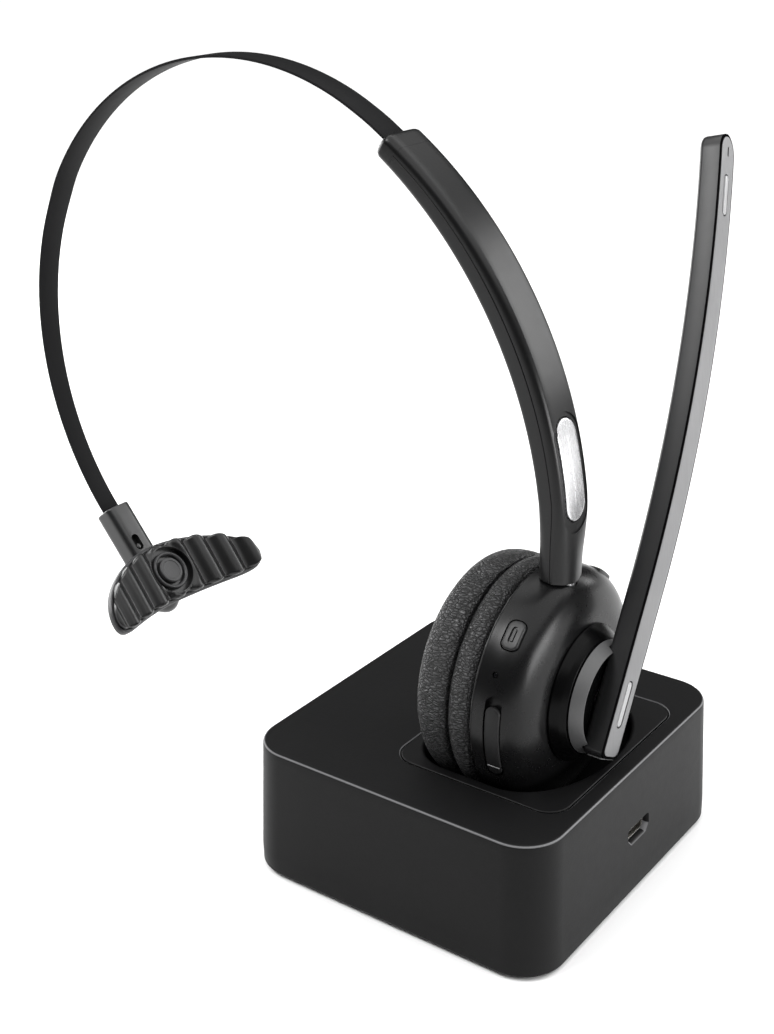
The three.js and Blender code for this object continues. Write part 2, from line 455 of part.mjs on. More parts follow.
const place = (st, [y, d]) => V3(st.p[0] + st.n[0] * d, y, st.p[1] + st.n[1] * d);
const armLoft = (sts, half) => loft(sts.map((s) => armSection(s, half).map((q) => place(s, q))), armSection(sts[0], half));

let outerShell = solid(armLoft(stations, 'outer'));
let innerShell = solid(armLoft(stations, 'inner'));
// the neck is saddled over the casing and keeps clear of it as it swivels
const grown = solid(latheX([[13.5, 0], [13.5, CUP_R + 0.35], ...HOUSING.slice(2).map(([x, r]) => [x + 0.3, r + 0.4]), [27.4, 0]], ZC, 40));
for (const a of [-10, 0, 10]) {
  const turned = grown.translate([-STEM_X, 0, 0]).rotate([0, 0, a]).translate([STEM_X, 0, 0]);
  outerShell = cut(outerShell, turned);
  innerShell = cut(innerShell, turned);
}
const stemHole = solid(latheZ([[0, 60], [3.1, 60], [3.1, 90], [0, 90]], STEM_X, 0, 16));
// below the casing's crown nothing of the shells remains
const under = solid(box(0, 40, -20, 20, 50, 74));
outerShell = cut(outerShell, stemHole, under);
innerShell = cut(innerShell, stemHole, under);
// blank bright plate let into the outer face
const PLATE_A = 10.2, PLATE_W = 7.8, PLATE_HALF = 12.1;
function armPill(w, half, r0, r1) {
  const g = slab(capsule(w, half), r0, r1, 5);
  // shape x -> Y, shape y -> along the arm, depth -> outwards
  const a = PLATE_A * D;
  g.applyMatrix4(new THREE.Matrix4().set(
    0, -Math.sin(a), Math.cos(a), ARM_C[0], 1, 0, 0, 0, 0, Math.cos(a), Math.sin(a), ARM_C[1], 0, 0, 0, 1));
  return g;
}
const cylY = (r, seg = 100) => new THREE.CylinderGeometry(r, r, 40, seg).translate(ARM_C[0], 0, ARM_C[1]);
outerShell = cut(outerShell, solid(armPill(PLATE_W + 0.5, PLATE_HALF + 0.25, 100, 120)).subtract(solid(cylY(110.5))));
add(arm, 'arm_outer_shell', outerShell, SATIN, 0.45);
add(arm, 'arm_inner_shell', innerShell, SATIN, 0.5);
add(arm, 'arm_badge_plate', solid(armPill(PLATE_W, PLATE_HALF, 100, 120)).intersect(solid(cylY(111.35)).subtract(solid(cylY(110.55)))), 0xe4e5e7, 0.2, 1);
const capStations = [CAP + 0.15, CAP + 1.5, TIP - 0.5].map(station);
capStations.push({ ...station(TIP), w: ARM_W / 2 - 0.9 });
let endCap = solid(armLoft(capStations, 'whole'));
const slot = [50, 52, 54, 56, 58].map(station);
const slotSection = (s) => [[-4.7, s.b - 0.65], [4.7, s.b - 0.65], [4.7, s.b + 0.65], [-4.7, s.b + 0.65]];
endCap = cut(endCap, solid(loft(slot.map((s) => slotSection(s).map((q) => place(s, q))), slotSection(slot[0]))));
add(arm, 'arm_end_cap', endCap, SATIN, 0.45);
add(arm, 'arm_stem', latheZ([[0, 59.2], [3.0, 59.2], [3.0, 88.5], [0, 88.5]], STEM_X, 0, 16), STEEL, 0.4, 1);

// ================================================================ sliding steel band
const path = [];
for (let d = 23; d <= 56; d += 3) path.push([ARM_C[0] + BAND_R * Math.cos(d * D), ARM_C[1] + BAND_R * Math.sin(d * D)]);
for (let d = 58; d <= 146; d += 8) path.push([-72.2 + 76.4 * Math.cos(d * D), 116.1 + 76.4 * Math.sin(d * D)]);
for (let d = 152; d <= 223; d += 7) path.push([-66.6 + 82.6 * Math.cos(d * D), 112.7 + 82.6 * Math.sin(d * D)]);
const bandCurve = new THREE.CatmullRomCurve3(path.map(([x, z]) => V3(x, 0, z)), false, 'centripetal');
const BAND_STEPS = 58;
const bandHalf = (u) => 4.0 - 1.0 * THREE.MathUtils.smoothstep(u, 0.5, 0.95);
const bandRings = [];
for (let i = 0; i <= BAND_STEPS; i++) {
  const u = i / BAND_STEPS;
  const p = bandCurve.getPointAt(u), t = bandCurve.getTangentAt(u);
  const n = V3(-t.z, 0, t.x).normalize();
  const w = bandHalf(u);
  bandRings.push([[-w, -BAND_T / 2], [w, -BAND_T / 2], [w, BAND_T / 2], [-w, BAND_T / 2]]
    .map(([y, d]) => V3(p.x + n.x * d, y, p.z + n.z * d)));
}
const band = new THREE.Group();
root.add(band);
add(band, 'band_strip', loft(bandRings, [[-4, -0.35], [4, -0.35], [4, 0.35], [-4, 0.35]]), 0x202022, 0.4, 0.6);

// ---- holder on the band's end, drawn about the ball joint: +X to the head, +Z up along the holder
const holder = new THREE.Group();
holder.position.set(JOINT[0], 0, JOINT[1]);
holder.rotation.y = HOLDER_TILT;
root.add(holder);
const toHolder = (m) => m.translate([-JOINT[0], 0, -JOINT[1]]).rotate([0, -HOLDER_TILT / D, 0]);
let sleeve = solid(slab(rrect(8.0, 8.6, 2.4, -0.3, 0), -5.4, 24.5, 3));
sleeve = join(sleeve, solid(new THREE.SphereGeometry(1, 12, 8).rotateX(Math.PI / 2).scale(4.0, 4.3, 4.6).translate(-0.3, 0, -5.4)));
sleeve = cut(sleeve, solid(new THREE.SphereGeometry(3.0, 12, 8)),
  solid(latheX([[0, 0], [0, 1.9], [2.0, 2.5], [4.2, 3.3], [6, 3.8], [6, 0]], 0, 16)),
  solid(box(1.6, 6, -2.2, -0.4, 10.4, 14.2)));
// pocket that takes the band's end
const pocket = [];
for (let i = 43; i <= BAND_STEPS; i++) {
  const u = i / BAND_STEPS;
  const p = bandCurve.getPointAt(u), t = bandCurve.getTangentAt(u);
  const n = V3(-t.z, 0, t.x).normalize();
  const w = bandHalf(u) + 0.35;
  pocket.push([[-w, -0.65], [w, -0.65], [w, 0.65], [-w, 0.65]].map(([y, d]) => V3(p.x + n.x * d, y, p.z + n.z * d)));
}
{
  const t = bandCurve.getTangentAt(1), last = pocket[pocket.length - 1];
  pocket.push(last.map((p) => p.clone().addScaledVector(t, 0.5)));
}
sleeve = cut(sleeve, toHolder(solid(loft(pocket, [[-4, -0.6], [4, -0.6], [4, 0.6], [-4, 0.6]]))));
add(holder, 'band_holder', sleeve, 0x18181a, 0.3);

// ---- temple pad on a ball joint
const temple = new THREE.Group();
temple.position.copy(holder.position);
temple.rotation.y = HOLDER_TILT;
root.add(temple);
add(temple, 'pad_ball', new THREE.SphereGeometry(2.7, 12, 8), STEEL, 0.35, 1);
let stud = solid(latheX([[2, 0], [2, 1.5], [7.6, 1.5], [7.6, 3.75], [8.9, 3.75], [9.1, 3.5], [9.1, 0]], 0, 20));
stud = cut(stud, solid(new THREE.SphereGeometry(2.95, 12, 8)));
add(temple, 'pad_stud', stud, 0x3a3a3c, 0.45);
// banana-shaped pad: sections across its length, its ends droop and come forward to the head
const PAD_TILT = -2.5 * D;
function padSection(u, x0, x1, grow) {
  const L = 30.5 + grow, s = Math.min(1, Math.abs(u) / L);
  const end = Math.sqrt(Math.max(0, 1 - s ** 12));
  const droop = u < 0 ? 2.4 * (u / 30) ** 2 : 0;
  const top = 8.9 - 9.6 * (u / 30) ** 2 - droop, bottom = -8.9 - 2.2 * (u / 30) ** 2 - droop;
  const mid = (top + bottom) / 2, h = ((top - bottom) / 2 + grow) * end;
  const fwd = (u < 0 ? 6.0 : 4.4) * (u / 28) ** 2;
  return [[x0 + fwd, mid - h], [x1 + fwd, mid - h], [x1 + fwd, mid + h], [x0 + fwd, mid + h]].map(([x, z]) => V3(x, u, z));
}
function padBody(x0, x1, grow) {
  const L = 30.5 + grow, rings = [];
  for (const f of [-0.995, -0.95, -0.86, -0.74, -0.56, -0.36, -0.18, 0, 0.18, 0.36, 0.56, 0.74, 0.86, 0.95, 0.995])
    rings.push(padSection(f * L, x0, x1, grow));
  const g = loft(rings, [[0, -1], [1, -1], [1, 1], [0, 1]]);
  g.rotateX(PAD_TILT);
  return g;
}
add(temple, 'pad_backing', cut(solid(padBody(5.5, 7.0, 0)), solid(latheX(disc(0, 20, 1.7), 0, 14))), 0x2b2b2d, 0.5);
let rubber = solid(padBody(7.05, 9.2, -0.5));
rubber = cut(rubber, solid(latheX(disc(0, 20, 1.7), 0, 14)), solid(latheX(disc(7.5, 20, 7.1), 0, 24)));
add(temple, 'temple_pad', rubber, RUBBER, 0.75);
add(temple, 'pad_boss_ring', latheX([[7.55, 4.0], [7.55, 5.6], [8.6, 5.5], [8.9, 5.2], [8.9, 4.4], [8.6, 4.0], [7.55, 4.0]], 0, 20), 0x2b2b2d, 0.4);

export default root;
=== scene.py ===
# Looks of the single-ear wireless headset in its charging dock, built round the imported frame.
# Shapes are drawn in millimetres and turned into metres when the mesh is made.
import bpy, bmesh, math
import numpy as np
from mathutils import Vector, Matrix


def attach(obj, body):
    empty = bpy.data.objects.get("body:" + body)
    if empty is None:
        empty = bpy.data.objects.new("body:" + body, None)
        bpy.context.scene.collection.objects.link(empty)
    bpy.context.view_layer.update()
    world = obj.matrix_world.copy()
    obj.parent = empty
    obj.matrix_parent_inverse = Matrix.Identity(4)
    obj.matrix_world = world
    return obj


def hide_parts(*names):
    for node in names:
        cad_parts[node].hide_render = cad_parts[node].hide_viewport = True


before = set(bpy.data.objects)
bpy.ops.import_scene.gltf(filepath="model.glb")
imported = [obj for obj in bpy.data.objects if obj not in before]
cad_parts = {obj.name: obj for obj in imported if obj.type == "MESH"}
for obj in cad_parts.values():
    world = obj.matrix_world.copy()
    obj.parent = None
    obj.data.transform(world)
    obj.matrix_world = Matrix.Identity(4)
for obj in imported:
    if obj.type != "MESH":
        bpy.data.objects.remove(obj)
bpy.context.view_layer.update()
D = math.pi / 180

# ------------------------------------------------------------------ camera
C = Vector((181.50, -283.29, 232.38)) / 1000
R = Vector((0.80538792, 0.5924483, -0.01884962))
U = Vector((-0.21683691, 0.32407122, 0.92084722))
F = Vector((-0.55166299, 0.73755193, -0.38946771))
cam_data = bpy.data.cameras.new("camera")
cam_data.lens = 1529.377 / 1034 * 36
cam_data.sensor_width = 36
cam_data.sensor_fit = 'AUTO'
cam_data.clip_start = 0.01
cam_data.clip_end = 50
cam = bpy.data.objects.new("camera", cam_data)
bpy.context.scene.collection.objects.link(cam)
cam.matrix_world = Matrix(((R.x, U.x, -F.x, C.x), (R.y, U.y, -F.y, C.y), (R.z, U.z, -F.z, C.z), (0, 0, 0, 1)))
bpy.context.scene.camera = cam

# ------------------------------------------------------------------ materials
def new_mat(name):
    m = bpy.data.materials.new(name)
    m.use_nodes = True
    nt = m.node_tree
    nt.nodes.clear()
    out = nt.nodes.new('ShaderNodeOutputMaterial')
    bs = nt.nodes.new('ShaderNodeBsdfPrincipled')
    nt.links.new(bs.outputs[0], out.inputs[0])
    return m, nt, bs

def coords(nt, scale=1.0, stretch=(1, 1, 1)):
    tc = nt.nodes.new('ShaderNodeTexCoord')
    mp = nt.nodes.new('ShaderNodeMapping')
    mp.inputs['Scale'].default_value = [scale * s for s in stretch]
    nt.links.new(tc.outputs['Object'], mp.inputs['Vector'])
    return mp.outputs['Vector']

def noise(nt, vec, scale, detail=3.0, rough=0.5):
    n = nt.nodes.new('ShaderNodeTexNoise')
    n.inputs['Scale'].default_value = scale
    n.inputs['Detail'].default_value = detail
    n.inputs['Roughness'].default_value = rough
    nt.links.new(vec, n.inputs['Vector'])
    return n.outputs['Fac']

def ramp(nt, fac, stops):
    r = nt.nodes.new('ShaderNodeValToRGB')
    e = r.color_ramp.elements
    while len(e) < len(stops):
        e.new(0.5)
    for el, (p, c) in zip(e, stops):
        el.position = p
        el.color = (c, c, c, 1) if isinstance(c, (int, float)) else (*c, 1)
    nt.links.new(fac, r.inputs['Fac'])
    return r.outputs['Color']

def math_node(nt, op, a, b):
    n = nt.nodes.new('ShaderNodeMath')
    n.operation = op
    for i, v in enumerate((a, b)):
        if isinstance(v, (int, float)):
            n.inputs[i].default_value = v
        else:
            nt.links.new(v, n.inputs[i])
    return n.outputs[0]

def bump(nt, height, strength, distance, normal=None):
    b = nt.nodes.new('ShaderNodeBump')
    b.inputs['Strength'].default_value = strength
    b.inputs['Distance'].default_value = distance
    nt.links.new(height, b.inputs['Height'])
    if normal is not None:
        nt.links.new(normal, b.inputs['Normal'])
    return b.outputs['Normal']

# moulded plastic: faint cloudy colour, fine spark-eroded grain, small roughness changes
def plastic(name, base, rough, grain=2600, grain_depth=0.00003, strength=0.25, spread=0.08, spec=0.5, vary=0.012):
    m, nt, bs = new_mat(name)
    v = coords(nt)
    big = noise(nt, v, 38, 3)
    fine = noise(nt, v, grain, 2, 0.6)
    nt.links.new(ramp(nt, big, [(0.3, tuple(c * (1 - spread) for c in base)), (0.7, tuple(c * (1 + spread) for c in base))]), bs.inputs['Base Color'])
    mid = noise(nt, v, 420, 4)
    nt.links.new(ramp(nt, mid, [(0.3, max(0.02, rough - vary)), (0.7, rough + vary)]), bs.inputs['Roughness'])
    bs.inputs['Specular IOR Level'].default_value = spec
    nt.links.new(bump(nt, fine, strength, grain_depth), bs.inputs['Normal'])
    return m

# painted highlight on rounded rims: base colour paler where the surface turns between level and upright
def rims(m, rim_highlight_colour, lo=0.2, hi=0.97):
    nt = m.node_tree
    bs = next(n for n in nt.nodes if n.type == 'BSDF_PRINCIPLED')
    old = bs.inputs['Base Color'].links[0].from_socket
    tc = nt.nodes.new('ShaderNodeTexCoord')
    sp = nt.nodes.new('ShaderNodeSeparateXYZ')
    nt.links.new(tc.outputs['Normal'], sp.inputs[0])
    # painted highlight: the rims are picked out by the height of the object-space normal
    rim_highlight_mask = ramp(nt, sp.outputs['Z'], [(lo, 0.0), (lo + 0.25, 1.0), (hi - 0.12, 1.0), (hi, 0.0)])
    mx = nt.nodes.new('ShaderNodeMix')
    mx.data_type = 'RGBA'
    nt.links.new(rim_highlight_mask, mx.inputs['Factor'])
    nt.links.new(old, mx.inputs['A'])
    mx.inputs['B'].default_value = (*rim_highlight_colour, 1)
    nt.links.new(mx.outputs['Result'], bs.inputs['Base Color'])
    return m

# metal with fine brushing along one axis
def metal(name, base, rough, stretch=(1, 1, 1), grain=1500, strength=0.15, depth=0.00002, metallic=1.0, spread=0.06):
    m, nt, bs = new_mat(name)
    v = coords(nt, 1.0, stretch)
    fine = noise(nt, v, grain, 3, 0.6)
    big = noise(nt, coords(nt), 55, 2)
    nt.links.new(ramp(nt, big, [(0.3, tuple(c * (1 - spread) for c in base)), (0.7, tuple(min(1, c * (1 + spread)) for c in base))]), bs.inputs['Base Color'])
    nt.links.new(ramp(nt, fine, [(0.25, max(0.02, rough - 0.05)), (0.75, rough + 0.05)]), bs.inputs['Roughness'])
    bs.inputs['Metallic'].default_value = metallic
    nt.links.new(bump(nt, fine, strength, depth), bs.inputs['Normal'])
    return m

# leatherette: small pillowy cells drawn out along the roll's section, parted by thin creases; the creases are painted
# dark as shade and the cell tops paler as highlight
def leatherette(name, base=(0.012, 0.012, 0.0125)):
    m, nt, bs = new_mat(name)
    v = coords(nt, 1.0, (0.42, 1.0, 1.0))
    n = nt.nodes.new('ShaderNodeTexNoise')
    n.inputs['Scale'].default_value = 900
    n.inputs['Detail'].default_value = 2
    nt.links.new(v, n.inputs['Vector'])
    shift = nt.nodes.new('ShaderNodeVectorMath')
    shift.operation = 'MULTIPLY_ADD'
    nt.links.new(n.outputs['Color'], shift.inputs[0])
    shift.inputs[1].default_value = (0.0009, 0.0009, 0.0009)
    nt.links.new(v, shift.inputs[2])
    c = nt.nodes.new('ShaderNodeTexVoronoi')
    c.feature = 'DISTANCE_TO_EDGE'
    c.inputs['Scale'].default_value = 1450
    nt.links.new(shift.outputs[0], c.inputs['Vector'])
    cells = ramp(nt, c.outputs['Distance'], [(0.0, 0.0), (0.1, 0.55), (0.3, 1.0)])
    fine = noise(nt, v, 2600, 2, 0.5)
    height = math_node(nt, 'ADD', math_node(nt, 'MULTIPLY', cells, 0.7), math_node(nt, 'MULTIPLY', fine, 0.3))
    # painted shade and highlight: base colour near black in the creases, paler on the cell tops
    nt.links.new(ramp(nt, height, [(0.2, tuple(k * 0.02 for k in base)), (0.55, tuple(k * 0.7 for k in base)), (0.9, tuple(k * 3.0 for k in base))]), bs.inputs['Base Color'])
    nt.links.new(ramp(nt, height, [(0.15, 0.75), (0.85, 0.33)]), bs.inputs['Roughness'])
    bs.inputs['Specular IOR Level'].default_value = 0.45
    nt.links.new(bump(nt, height, 1.0, 0.0005), bs.inputs['Normal'])
    return m

# plain weave of a fine speaker cloth
def cloth(name, base=(0.012, 0.012, 0.013)):
    m, nt, bs = new_mat(name)
    v = coords(nt)
    w1 = nt.nodes.new('ShaderNodeTexWave'); w1.bands_direction = 'Y'; w1.inputs['Scale'].default_value = 420
    w2 = nt.nodes.new('ShaderNodeTexWave'); w2.bands_direction = 'Z'; w2.inputs['Scale'].default_value = 420
    for w in (w1, w2):
        w.inputs['Distortion'].default_value = 0.4
        nt.links.new(v, w.inputs['Vector'])
    h = math_node(nt, 'MULTIPLY', w1.outputs['Fac'], w2.outputs['Fac'])
    nt.links.new(ramp(nt, h, [(0.1, tuple(c * 0.3 for c in base)), (0.8, tuple(c * 2.2 for c in base))]), bs.inputs['Base Color'])
    bs.inputs['Roughness'].default_value = 0.9
    bs.inputs['Sheen Weight'].default_value = 0.25
    nt.links.new(bump(nt, h, 0.8, 0.0002), bs.inputs['Normal'])
    return m

def board(name):
    m, nt, bs = new_mat(name)
    v = coords(nt)
    br = nt.nodes.new('ShaderNodeTexVoronoi')
    br.inputs['Scale'].default_value = 300
    nt.links.new(v, br.inputs['Vector'])
    nt.links.new(ramp(nt, br.outputs['Distance'], [(0.2, (0.02, 0.09, 0.04)), (0.6, (0.03, 0.14, 0.07))]), bs.inputs['Base Color'])
    nt.links.new(ramp(nt, noise(nt, v, 500), [(0.3, 0.35), (0.7, 0.5)]), bs.inputs['Roughness'])
    return m

M = {
    'dock': plastic('dock_matte', (0.0045, 0.0045, 0.0047), 0.46, grain=1900, grain_depth=0.00005, strength=0.35, spec=0.12),
    'cradle': plastic('cradle_satin', (0.004, 0.004, 0.0042), 0.40, grain=2200, strength=0.22, spec=0.15),
    'base': plastic('base_black', (0.03, 0.03, 0.03), 0.6),
    'rubber': plastic('soft_rubber', (0.004, 0.004, 0.0042), 0.33, grain=1500, grain_depth=0.00002, strength=0.12, spec=0.4),
    'flap': plastic('flap_rubber', (0.006, 0.006, 0.0063), 0.52, grain=2200, grain_depth=0.00003, strength=0.25, spec=0.25),
    'leather': leatherette('leatherette_black'),
    'cloth': cloth('speaker_mesh'),
    'satin': plastic('satin_black', (0.004, 0.004, 0.0042), 0.28, grain=3000, grain_depth=0.00001, strength=0.08, spec=0.20),
    'arm': plastic('arm_black', (0.004, 0.004, 0.0042), 0.30, grain=3000, grain_depth=0.00001, strength=0.1, spec=0.26),
    'key': plastic('key_black', (0.006, 0.006, 0.0063), 0.36, grain=3000, strength=0.15, spec=0.3),
    'gloss': plastic('gloss_black', (0.0015, 0.0015, 0.0016), 0.26, grain=900, grain_depth=0.00001, strength=0.05, spec=0.08),
    'holder': plastic('holder_black', (0.008, 0.008, 0.0083), 0.30, grain=1500, grain_depth=0.00001, strength=0.03, spec=0.55),
    'inner': plastic('inner_black', (0.03, 0.03, 0.03), 0.5),
    'grey_plastic': plastic('driver_grey', (0.05, 0.05, 0.055), 0.4),
    'pad_plastic': plastic('pad_grey', (0.028, 0.028, 0.029), 0.42, strength=0.15, spec=0.35),
    'boom_dark': plastic('boom_side_grey', (0.010, 0.010, 0.0105), 0.36, grain=2600, strength=0.2, spec=0.4),
    'face': metal('boom_face_light', (0.135, 0.135, 0.138), 0.40, stretch=(1, 1, 0.12), metallic=0.3, strength=0.12),
    'edge': metal('edge_grey', (0.30, 0.30, 0.304), 0.32, metallic=0.4),
    'trim': metal('trim_grey', (0.062, 0.062, 0.063), 0.46, metallic=0.0),
    'badge': metal('badge_bright', (0.66, 0.66, 0.67), 0.26, stretch=(1, 1, 0.1), metallic=0.9, strength=0.08),
    'band': plastic('band_black', (0.009, 0.009, 0.0094), 0.52, grain=2600, strength=0.12, spec=0.04),
    'steel': metal('turned_steel', (0.55, 0.55, 0.56), 0.3),
    'nickel': metal('nickel_plate', (0.66, 0.65, 0.62), 0.24),
    'gold': metal('gold_plate', (0.78, 0.56, 0.22), 0.22),
    'brass': metal('turned_brass', (0.58, 0.43, 0.18), 0.32),
    'board': board('solder_mask'),
    'battery': plastic('battery_wrap', (0.12, 0.15, 0.19), 0.35),
    # the boom body's black plastic made darker and without reflection: painted shade along the face plate's edge
    'rim': plastic('rim_black_painted_shade', (0.0025, 0.0025, 0.0026), 0.6, strength=0.1, spec=0.0),
    'lens': plastic('smoked_lens', (0.002, 0.002, 0.0025), 0.3, strength=0.03, spec=0.1),
}

# painted highlight: the dock's rounded rims get a paler base colour
rims(M['dock'], (0.14, 0.14, 0.144), 0.38, 0.93)

# ------------------------------------------------------------------ mesh helpers (millimetres)
def make(name, verts, faces, material, body, slot, replaces=(), angle=32, recalc=True):
    me = bpy.data.meshes.new(name)
    me.from_pydata([[c / 1000 for c in v] for v in verts], [], faces)
    bm = bmesh.new()
    bm.from_mesh(me)
    bmesh.ops.remove_doubles(bm, verts=bm.verts, dist=1e-7)
    bmesh.ops.dissolve_degenerate(bm, edges=bm.edges, dist=1e-8)
    if recalc:
        bmesh.ops.recalc_face_normals(bm, faces=bm.faces)
    bm.to_mesh(me)
    bm.free()
    o = bpy.data.objects.new(name, me)
    bpy.context.scene.collection.objects.link(o)
    o.data.materials.append(M[material])
    shade(o, angle)
    if body:
        dress(o, body, slot, replaces)
    return o

def dress(o, body, slot, replaces=()):
    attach(o, body)
    if replaces:
        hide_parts(*replaces)

def shade(o, angle=32):
    me = o.data
    bm = bmesh.new()
    bm.from_mesh(me)
    for f in bm.faces:
        f.smooth = True
    lim = angle * D
    for e in bm.edges:
        e.smooth = not (len(e.link_faces) != 2 or e.calc_face_angle(0) > lim)
    bm.to_mesh(me)
    bm.free()
    me.update()

def settle(o):
    """Replaces the object's mesh by its evaluated one and drops the modifiers."""
    bpy.context.view_layer.update()
    dg = bpy.context.evaluated_depsgraph_get()
    me = bpy.data.meshes.new_from_object(o.evaluated_get(dg))
    old = o.data
    o.modifiers.clear()
    o.data = me
    bpy.data.meshes.remove(old)
    return o

def boolean(o, cutters, op='DIFFERENCE', angle=32):
    for c in cutters:
        m = o.modifiers.new('b', 'BOOLEAN')
        m.operation = op
        m.solver = 'EXACT'
        m.object = c
    settle(o)
    for c in cutters:
        me = c.data
        bpy.data.objects.remove(c)
        bpy.data.meshes.remove(me)
    bm = bmesh.new()
    bm.from_mesh(o.data)
    bmesh.ops.remove_doubles(bm, verts=bm.verts, dist=3e-6)
    bmesh.ops.dissolve_degenerate(bm, edges=bm.edges, dist=2e-6)
    bm.to_mesh(o.data)
    bm.free()
    shade(o, angle)
    return o

def tool(verts, faces):
    return make('cutter', verts, faces, 'base', None, None)

def skin(loops, close_u=True, cap=(True, True), wrap=False):
    """Quads between equal loops; caps are fans to the loop's middle. wrap joins the last loop to the first."""
    n = len(loops[0])
    verts = [tuple(p) for l in loops for p in l]
    faces = []
    rows = len(loops)
    for k in range(rows if wrap else rows - 1):
        a, b = k * n, ((k + 1) % rows) * n
        for i in range(n if close_u else n - 1):
            j = (i + 1) % n
            faces.append((a + i, a + j, b + j, b + i))
    if not wrap:
        for which, base in ((0, 0), (1, (rows - 1) * n)):
            if cap[which]:
                mid = np.mean(np.array(verts[base:base + n]), axis=0)
                verts.append(tuple(mid))
                c = len(verts) - 1
                for i in range(n):
                    j = (i + 1) % n
                    faces.append((c, base + j, base + i) if which == 0 else (c, base + i, base + j))
    return verts, faces

def fillet(points, n=4, closed=True):
    """points (a, b[, radius]); corners with a radius become arcs."""
    out = []
    N = len(points)
    for i, p in enumerate(points):
        rad = p[2] if len(p) > 2 else 0
        P = np.array(p[:2], float)
        if rad <= 0 or (not closed and i in (0, N - 1)):
            out.append(tuple(P)); continue
        A = np.array(points[i - 1][:2], float); B = np.array(points[(i + 1) % N][:2], float)
        u, v = A - P, B - P
        lu, lv = np.linalg.norm(u), np.linalg.norm(v)
        u, v = u / lu, v / lv
        cosang = float(np.clip(u @ v, -1, 1))
        half = math.acos(cosang) / 2
        t = min(rad / math.tan(half), lu * 0.49, lv * 0.49)
        r = t * math.tan(half)
        bis = (u + v); bis = bis / np.linalg.norm(bis)
        c = P + bis * (r / math.sin(half))
        s, e = P + u * t, P + v * t
        a0 = math.atan2(*(s - c)[::-1]); a1 = math.atan2(*(e - c)[::-1])
        d = (a1 - a0 + math.pi) % (2 * math.pi) - math.pi
        for k in range(n + 1):
            a = a0 + d * k / n
            out.append((c[0] + r * math.cos(a), c[1] + r * math.sin(a)))
    return out

def smooth_path(points, per=6):
    """Catmull-Rom through the points."""
    P = [np.array(p, float) for p in points]
    P = [2 * P[0] - P[1]] + P + [2 * P[-1] - P[-2]]
    out = []
    for i in range(1, len(P) - 2):
        p0, p1, p2, p3 = P[i - 1:i + 3]
        t = [0]
        for a, b in ((p0, p1), (p1, p2), (p2, p3)):
            t.append(t[-1] + max(1e-9, np.linalg.norm(b - a)) ** 0.5)
        for k in range(per):
            s = t[1] + (t[2] - t[1]) * k / per
            A1 = (t[1] - s) / (t[1] - t[0]) * p0 + (s - t[0]) / (t[1] - t[0]) * p1
            A2 = (t[2] - s) / (t[2] - t[1]) * p1 + (s - t[1]) / (t[2] - t[1]) * p2
            A3 = (t[3] - s) / (t[3] - t[2]) * p2 + (s - t[2]) / (t[3] - t[2]) * p3
            B1 = (t[2] - s) / (t[2] - t[0]) * A1 + (s - t[0]) / (t[2] - t[0]) * A2
            B2 = (t[3] - s) / (t[3] - t[1]) * A2 + (s - t[1]) / (t[3] - t[1]) * A3
            out.append((t[2] - s) / (t[2] - t[1]) * B1 + (s - t[1]) / (t[2] - t[1]) * B2)
    out.append(P[-2])
    return out

ZC = 51.07
def lathe_x(profile, seg=144, zc=ZC, wrap=True, y=0.0):
    """Closed profile of (x, r) turned about the X axis. Points on the axis become poles."""
    loops = []
    for i in range(seg):
        a = 2 * math.pi * i / seg
        loops.append([(x, y + r * math.sin(a), zc + r * math.cos(a)) for x, r in profile])
    n = len(profile)
    verts = [p for l in loops for p in l]
    faces = []
    for k in range(seg):
        a, b = k * n, ((k + 1) % seg) * n
        for i in range(n if wrap else n - 1):
            j = (i + 1) % n
            faces.append((a + i, a + j, b + j, b + i))
    return verts, faces

def rrect(w, h, r, cx=0.0, cy=0.0, n=8, straight=2):
    """Points round a rounded rectangle, the same count whatever its size."""
    r = max(min(r, w / 2 - 1e-3, h / 2 - 1e-3), 1e-3)
    pts = []
    for sx, sy, a0 in ((1, -1, -90), (1, 1, 0), (-1, 1, 90), (-1, -1, 180)):
        for k in range(n + 1):
            a = (a0 + 90 * k / n) * D
            pts.append((cx + sx * (w / 2 - r) + r * math.cos(a), cy + sy * (h / 2 - r) + r * math.sin(a)))
        # points along the straight run to the next corner
        nx, ny, na = {(1, -1): (1, 1, 0), (1, 1): (-1, 1, 90), (-1, 1): (-1, -1, 180), (-1, -1): (1, -1, -90)}[(sx, sy)]
        q = (cx + nx * (w / 2 - r) + r * math.cos(na * D), cy + ny * (h / 2 - r) + r * math.sin(na * D))
        p = pts[-1]
        for k in range(1, straight + 1):
            t = k / (straight + 1)
            pts.append((p[0] + (q[0] - p[0]) * t, p[1] + (q[1] - p[1]) * t))
    return pts

def edge_round(w, h, r, z0, z1, e, n=4, bottom=True):
    """Levels (w, h, r, z) of a slab with rounded rims of radius e."""
    lv = []
    if bottom:
        lv += [(w - 2 * e * (1 - math.sin(a)), h - 2 * e * (1 - math.sin(a)), r - e * (1 - math.sin(a)), z0 + e * (1 - math.cos(a))) for a in [math.pi / 2 * k / n for k in range(n + 1)]]
    else:
        lv += [(w, h, r, z0)]
    lv += [(w - 2 * e * (1 - math.cos(a)), h - 2 * e * (1 - math.cos(a)), r - e * (1 - math.cos(a)), z1 - e * (1 - math.sin(a))) for a in [math.pi / 2 * k / n for k in range(n + 1)]]
    return lv

def cup_place(p, x, phi):
    """local (u along X, v round the cup, w outwards) to the row frame"""
    u, v, w = p
    a = -phi * D
    # rotate about X by -phi: y' = v cos - w sin, z' = v sin + w cos
    return (x + u, v * math.cos(a) - w * math.sin(a), ZC + v * math.sin(a) + w * math.cos(a))

